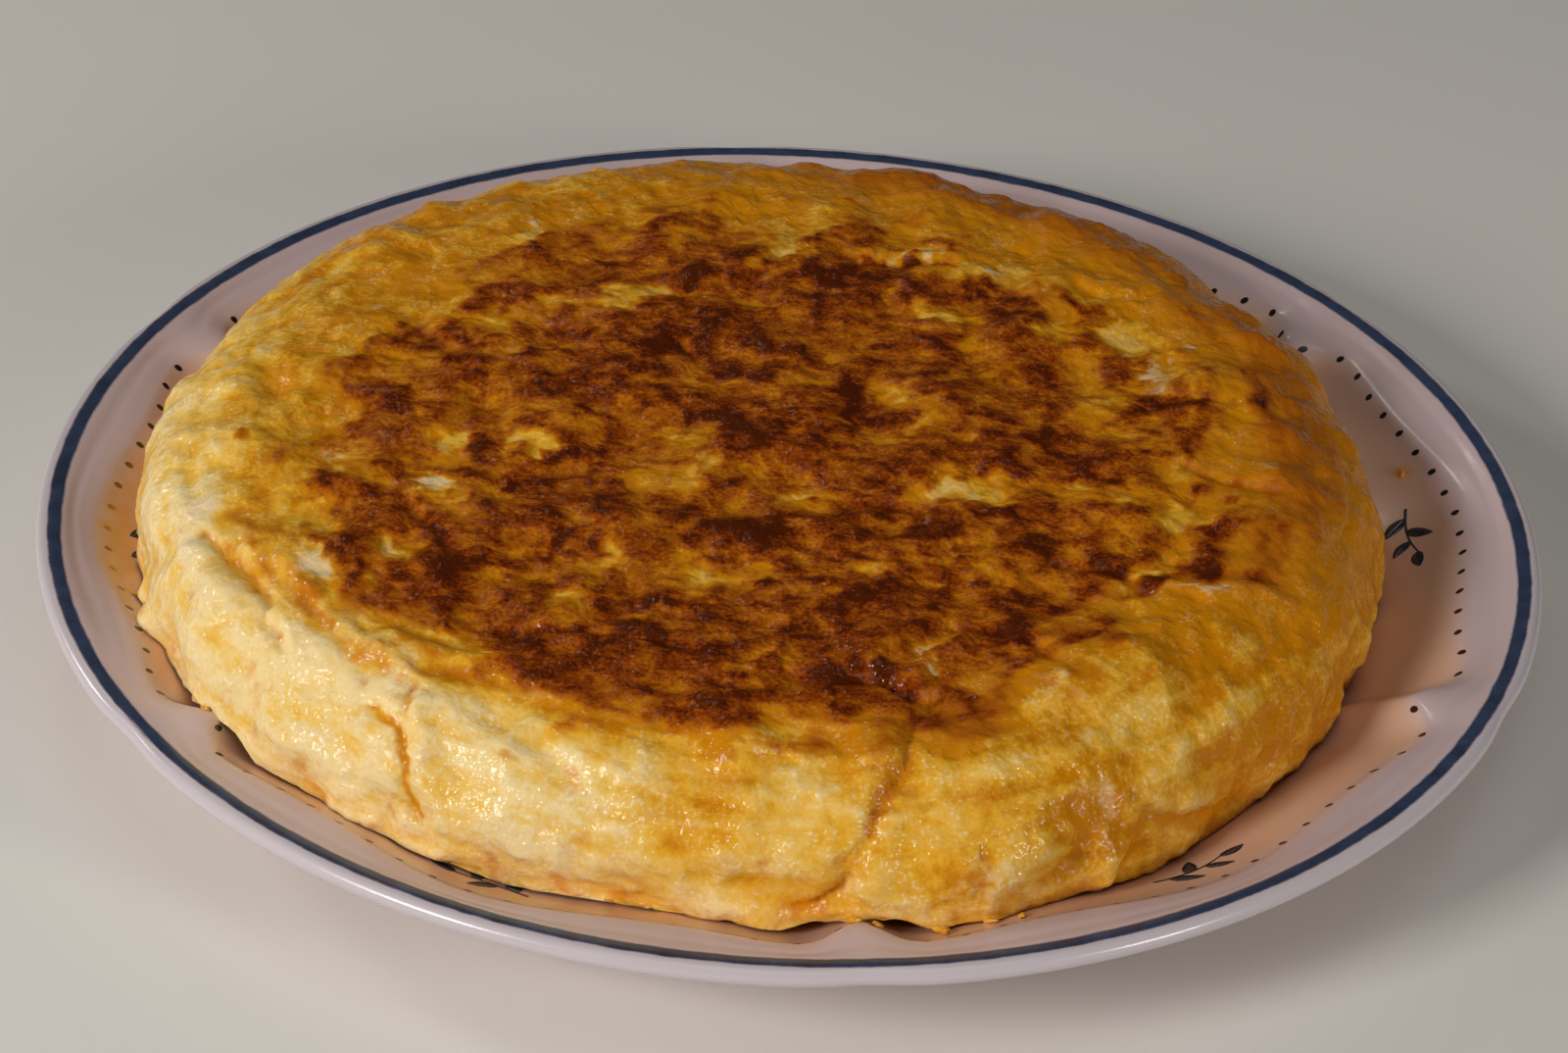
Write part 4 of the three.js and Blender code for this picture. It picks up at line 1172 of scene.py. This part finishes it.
class PlateSettings(bpy.types.PropertyGroup):
    band_radius: length_setting("Band radius", "Middle of the painted band", 0.1317)
    band_width: length_setting("Band width", "Width of the painted band", 0.0025)
    dot_size: length_setting("Dot size", "Diameter of the painted dots", 0.0014)
    glaze: colour_setting("Glaze", "Glaze of the plate", srgb(217, 196, 201))
    # Painted warm light reflected from the omelette.
    well_painted_glow: colour_setting("Well", "Glaze inside the dots, warmed by the food", srgb(228, 187, 162))
    lip: colour_setting("Lip", "Glaze outside the band", srgb(206, 196, 203))
    glaze_warm: colour_setting("Warm glaze", "Glaze in its warmer clouds", srgb(214, 189, 189))
    band: colour_setting("Band", "Blue of the band", srgb(44, 54, 78))
    band_light: colour_setting("Light band", "Blue where the paint is thin", srgb(64, 80, 114))
    dot: colour_setting("Dots", "Paint of the dots", srgb(34, 22, 24))
    twig: colour_setting("Twigs", "Paint of the twigs", srgb(26, 32, 42))
    twig_light: colour_setting("Light twigs", "Thin paint of the twigs", srgb(58, 68, 82))
    # Also the colour of the painted reflection and shade beside the omelette.
    smear_and_painted_light: colour_setting("Smear", "Thin film of egg on the glaze", srgb(214, 156, 52))


class StudioSettings(bpy.types.PropertyGroup):
    floor: colour_setting("Floor", "Colour of the floor", srgb(238, 236, 232))
    key_power: number_setting("Key power", "Power that the lights take their shares of", 9.4, unit="POWER")
    fill_strength: number_setting("Fill", "Brightness of the room", 0.03, min=0)
    lens: number_setting("Lens", "Focal length in millimetres", 100.0, min=1)
    distance: length_setting("Distance", "From the camera to the point it looks at", 0.78792)
    elevation: number_setting(
        "Elevation", "Of the camera over the table", math.radians(33.05), subtype="ANGLE"
    )
    roll: number_setting("Roll", "Tilt of the camera about its view", math.radians(3.135), subtype="ANGLE")


# ---- Operators ----


class DISH_OT_plate(bpy.types.Operator):
    """Model the glazed plate with its six lobes"""

    bl_idname = "dish.plate"
    bl_label = "Plate"

    def execute(self, context):
        rings, eating_rows = plate_section()
        rows = len(rings) - 1
        plate = flat_grid("glazed_plate", PLATE_COLUMNS, rows)
        around, row = grid_coordinates(plate, rows)
        azimuth = 2 * math.pi * around + LOBE_TURN
        points, beyond_dots = plate_points(azimuth, row, rings, eating_rows)
        place_points(plate, points)
        write_uv(plate, around * LOBES * DOTS_PER_LOBE + 0.5, beyond_dots)
        write_share(plate, "smear_and_painted_light", self.smears(azimuth, points))
        close_seams(plate)
        finish_with(plate, glaze_finish(context.scene.dish_plate))
        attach(plate, "root")
        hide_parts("plate")
        return {"FINISHED"}

    def smears(self, azimuth, points):
        """Share of the thin films of egg on the eating side, which also carry painted reflection and
        painted shade beside the omelette.
        """
        turn = np.degrees(azimuth) % 360
        radius = np.hypot(points[:, 0], points[:, 1])
        films = sum(
            share * bell(turn_between(at, turn), half_turn) * bell(radius - ring, half_width)
            for at, half_turn, ring, half_width, share in SMEARS
        )
        return np.where(points[:, 2] > FLOOR_HEIGHT, films, 0)


class DISH_OT_omelette(bpy.types.Operator):
    """Model the omelette's whole skin, with its folds, lumps and browning"""

    bl_idname = "dish.omelette"
    bl_label = "Omelette"

    def execute(self, context):
        rows = TOP_ROWS + SIDE_ROWS + len(UNDER_RADII)
        omelette = flat_grid("omelette_skin", SKIN_COLUMNS, rows)
        halve_rows(omelette, rows, TOP_ROWS, TOP_ROWS + SIDE_ROWS)
        around, row = grid_coordinates(omelette, rows)
        skin = Skin(360 * around, row)
        place_points(omelette, skin.points())
        shares = {
            "crust": skin.crust(), "browning": skin.browning(), "cream": skin.cream(),
            "white": skin.white(), "orange": skin.orange(),
        }
        for name, values in shares.items():
            write_share(omelette, name, values)
        write_uv(omelette, around, skin.length / SKIN_LENGTH)
        close_seams(omelette)
        finish_with(omelette, egg_finish(context.scene.dish_omelette))
        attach(omelette, "root")
        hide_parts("omelette")
        return {"FINISHED"}


class DISH_OT_twigs(bpy.types.Operator):
    """Paint a small twig on the middle of every lobe"""

    bl_idname = "dish.twigs"
    bl_label = "Painted twigs"

    LEAVES = ((2.5, 6, 2.7, 50), (6, 5.4, 2.4, -48), (9.5, 5, 2.2, 46), (13.5, 5.2, 2.2, 4))
    STEM_LENGTH = 14
    STEM_WIDTH = 0.55
    TWIG_RADIUS = 114.6
    BOW = 1.3
    PAINT = 0.05  # thickness over the glaze

    def leaf(self, at, length, width, turn):
        """A pointed leaf lying flat, in millimetres, with its foot on the stem."""
        leaf = flat_grid("leaf", 8, 2)
        along, row = grid_coordinates(leaf, 2)
        across = (row - 1) * width / 2 * np.sin(math.pi * along**0.8) ** 0.8
        x, y = along * length, across + 0.25 * np.sin(math.pi * along)
        cosine, sine = math.cos(math.radians(turn)), math.sin(math.radians(turn))
        along_stem = at + x * cosine - y * sine
        aside = self.bow(at) + x * sine + y * cosine
        place_points(leaf, np.stack([along_stem, aside, 0 * x], axis=1))
        return leaf

    def bow(self, along):
        """How far the stem curves aside."""
        return self.BOW * np.sin(math.pi * along / self.STEM_LENGTH * 0.9) - 1

    def stem(self):
        stem = flat_grid("stem", 16, 2)
        along, row = grid_coordinates(stem, 2)
        along = along * self.STEM_LENGTH
        taper = 1 - 0.5 * along / self.STEM_LENGTH
        across = self.bow(along) + (row - 1) * self.STEM_WIDTH / 2 * taper
        place_points(stem, np.stack([along, across, 0 * along], axis=1))
        return stem

    def execute(self, context):
        twigs = []
        for lobe in range(LOBES):
            parts = [self.stem()] + [self.leaf(*leaf) for leaf in self.LEAVES]
            for part in parts:
                close_seams(part, 1e-5)
            twig = join(parts, "twig")
            along, across, _ = (vertices_of(twig) / MM).astype(float).T
            side = 1 if lobe % 2 else -1
            radius = self.TWIG_RADIUS + across * side
            aside = side * (along - self.STEM_LENGTH / 2) / radius
            azimuth = LOBE_TURN + 2 * math.pi * lobe / LOBES + aside
            x, y = radius * np.cos(azimuth), radius * np.sin(azimuth)
            place_points(twig, np.stack([x, y, plate_height(radius, azimuth) + self.PAINT], axis=1))
            twigs.append(twig)
        painted = join(twigs, "painted_twigs")
        modifier = painted.modifiers.new("paint", "SOLIDIFY")
        modifier.thickness = 2 * self.PAINT * MM
        modifier.offset = 0
        bpy.ops.object.modifier_apply(modifier=modifier.name)
        close_seams(painted, 1e-7)
        finish_with(painted, twig_finish(context.scene.dish_plate))
        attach(painted, "root")
        return {"FINISHED"}


class DISH_OT_scraps(bpy.types.Operator):
    """Lay small bits of egg on the plate beside the omelette"""

    bl_idname = "dish.scraps"
    bl_label = "Egg scraps"

    PARTS = (2, 4.2, 5.5)  # half length, half width and half height are the length over these
    FLATTENED = 9  # the length over this is how far the ball stands up before its underside is flattened
    UNEVEN = 0.3
    UNEVEN_SIZE = 1.2
    GAP = 0.05

    def execute(self, context):
        made = []
        for i, (turn, radius, length, skew) in enumerate(SCRAPS):
            azimuth = math.radians(turn)
            deselect()
            bpy.ops.mesh.primitive_ico_sphere_add(subdivisions=3, radius=MM)
            scrap = take("scrap")
            ball = (vertices_of(scrap) / MM).astype(float)
            ball *= (1 + self.UNEVEN * cloud(ball, self.UNEVEN_SIZE, 3, 11.0 + i))[:, None]
            ball *= [length / part for part in self.PARTS]
            turned = math.radians(skew) + azimuth
            cosine, sine = math.cos(turned), math.sin(turned)
            x = radius * math.cos(azimuth) + ball[:, 0] * cosine - ball[:, 1] * sine
            y = radius * math.sin(azimuth) + ball[:, 0] * sine + ball[:, 1] * cosine
            ground = plate_height(np.hypot(x, y), np.arctan2(y, x))
            z = ground + self.GAP + np.maximum(ball[:, 2] + length / self.FLATTENED, 0)
            place_points(scrap, np.stack([x, y, z], axis=1))
            made.append(scrap)
        scraps = join(made, "egg_scraps")
        bpy.ops.object.shade_smooth()
        finish_with(scraps, scrap_finish(context.scene.dish_omelette))
        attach(scraps, "root")
        return {"FINISHED"}


class DISH_OT_studio(bpy.types.Operator):
    """Set up the pale floor, the soft light and the camera"""

    bl_idname = "dish.studio"
    bl_label = "Studio"

    FLOOR_SIDE = 6.0
    SENSOR_WIDTH = 36
    PICTURE_WIDTH = 1600
    AXIS_IN_PICTURE = (808.2, 517.9)  # where the camera's axis meets the 1600 x 1074 picture
    PICTURE_MIDDLE = (800, 537)
    LOOKED_AT = (0, 0, 0.0223)
    # Azimuth and elevation in degrees, distance, side length and share of the key's power.
    LIGHTS = (
        ("key_light", 222, 28, 1.25, 0.36, 0.95),
        ("side_light", 322, 20, 1.25, 0.22, 0.4),
        ("back_light", 157, 26, 1.5, 0.2, 0.34),
        ("glint_light", 112, 42, 1.5, 0.11, 0.04),
        ("top_light", 290, 74, 1.6, 1.0, 0.3),
    )

    def execute(self, context):
        settings = context.scene.dish_studio
        deselect()
        bpy.ops.mesh.primitive_plane_add(size=self.FLOOR_SIDE)
        floor = take("floor")
        finish_with(floor, floor_finish(settings))
        for name, azimuth, elevation, distance, size, share in self.LIGHTS:
            self.light(name, azimuth, elevation, distance, size, settings.key_power * share)
        world = bpy.data.worlds.new("room")
        world.use_nodes = True
        room = world.node_tree.nodes["Background"]
        room.inputs["Color"].default_value = srgb(245, 244, 242)
        room.inputs["Strength"].default_value = settings.fill_strength
        context.scene.world = world
        context.scene.view_settings.view_transform = "Standard"
        self.camera(context, settings)
        return {"FINISHED"}

    def light(self, name, azimuth, elevation, distance, size, power):
        """A square soft light that faces the dish."""
        turn, rise = math.radians(azimuth), math.radians(elevation)
        away = Vector((math.cos(turn) * math.cos(rise), math.sin(turn) * math.cos(rise), math.sin(rise)))
        deselect()
        bpy.ops.object.light_add(type="AREA", location=away * distance)
        lamp = take(name)
        lamp.data.energy = power
        lamp.data.size = size
        lamp.data.color = srgb(255, 251, 244)[:3]
        lamp.rotation_euler = away.to_track_quat("Z", "Y").to_euler()

    def camera(self, context, settings):
        elevation, roll = settings.elevation, settings.roll
        view = Vector((0, math.cos(elevation), -math.sin(elevation)))
        level = Vector((1, 0, 0))
        up = level.cross(view)
        right = math.cos(roll) * level + math.sin(roll) * up
        above = -math.sin(roll) * level + math.cos(roll) * up
        data = bpy.data.cameras.new("camera")
        camera = bpy.data.objects.new("camera", data)
        context.scene.collection.objects.link(camera)
        turned = Matrix((right, above, -view)).transposed().to_4x4()
        turned.translation = Vector(self.LOOKED_AT) - view * settings.distance
        camera.matrix_world = turned
        data.lens = settings.lens
        data.sensor_width = self.SENSOR_WIDTH
        data.clip_start = 0.05
        data.clip_end = 20
        data.shift_x = (self.PICTURE_MIDDLE[0] - self.AXIS_IN_PICTURE[0]) / self.PICTURE_WIDTH
        data.shift_y = (self.AXIS_IN_PICTURE[1] - self.PICTURE_MIDDLE[1]) / self.PICTURE_WIDTH
        context.scene.camera = camera


class DISH_PT_panel(bpy.types.Panel):
    """Lists the steps and their settings"""

    bl_label = "Omelette dish"
    bl_idname = "DISH_PT_panel"
    bl_space_type = "VIEW_3D"
    bl_region_type = "UI"
    bl_category = "Omelette"

    def draw(self, context):
        for step in STEPS:
            self.layout.operator(step.bl_idname)
        for settings in (context.scene.dish_omelette, context.scene.dish_plate, context.scene.dish_studio):
            box = self.layout.box()
            for name in settings.__annotations__:
                box.prop(settings, name)


STEPS = (DISH_OT_studio, DISH_OT_plate, DISH_OT_twigs, DISH_OT_omelette, DISH_OT_scraps)
CLASSES = (OmeletteSettings, PlateSettings, StudioSettings, *STEPS, DISH_PT_panel)


def register():
    for made in CLASSES:
        bpy.utils.register_class(made)
    bpy.types.Scene.dish_omelette = bpy.props.PointerProperty(type=OmeletteSettings)
    bpy.types.Scene.dish_plate = bpy.props.PointerProperty(type=PlateSettings)
    bpy.types.Scene.dish_studio = bpy.props.PointerProperty(type=StudioSettings)


def unregister():
    del bpy.types.Scene.dish_omelette
    del bpy.types.Scene.dish_plate
    del bpy.types.Scene.dish_studio
    for made in reversed(CLASSES):
        bpy.utils.unregister_class(made)


def main():
    register()
    for step in STEPS:
        group, name = step.bl_idname.split(".")
        getattr(getattr(bpy.ops, group), name)()


if __name__ == "__main__":
    main()
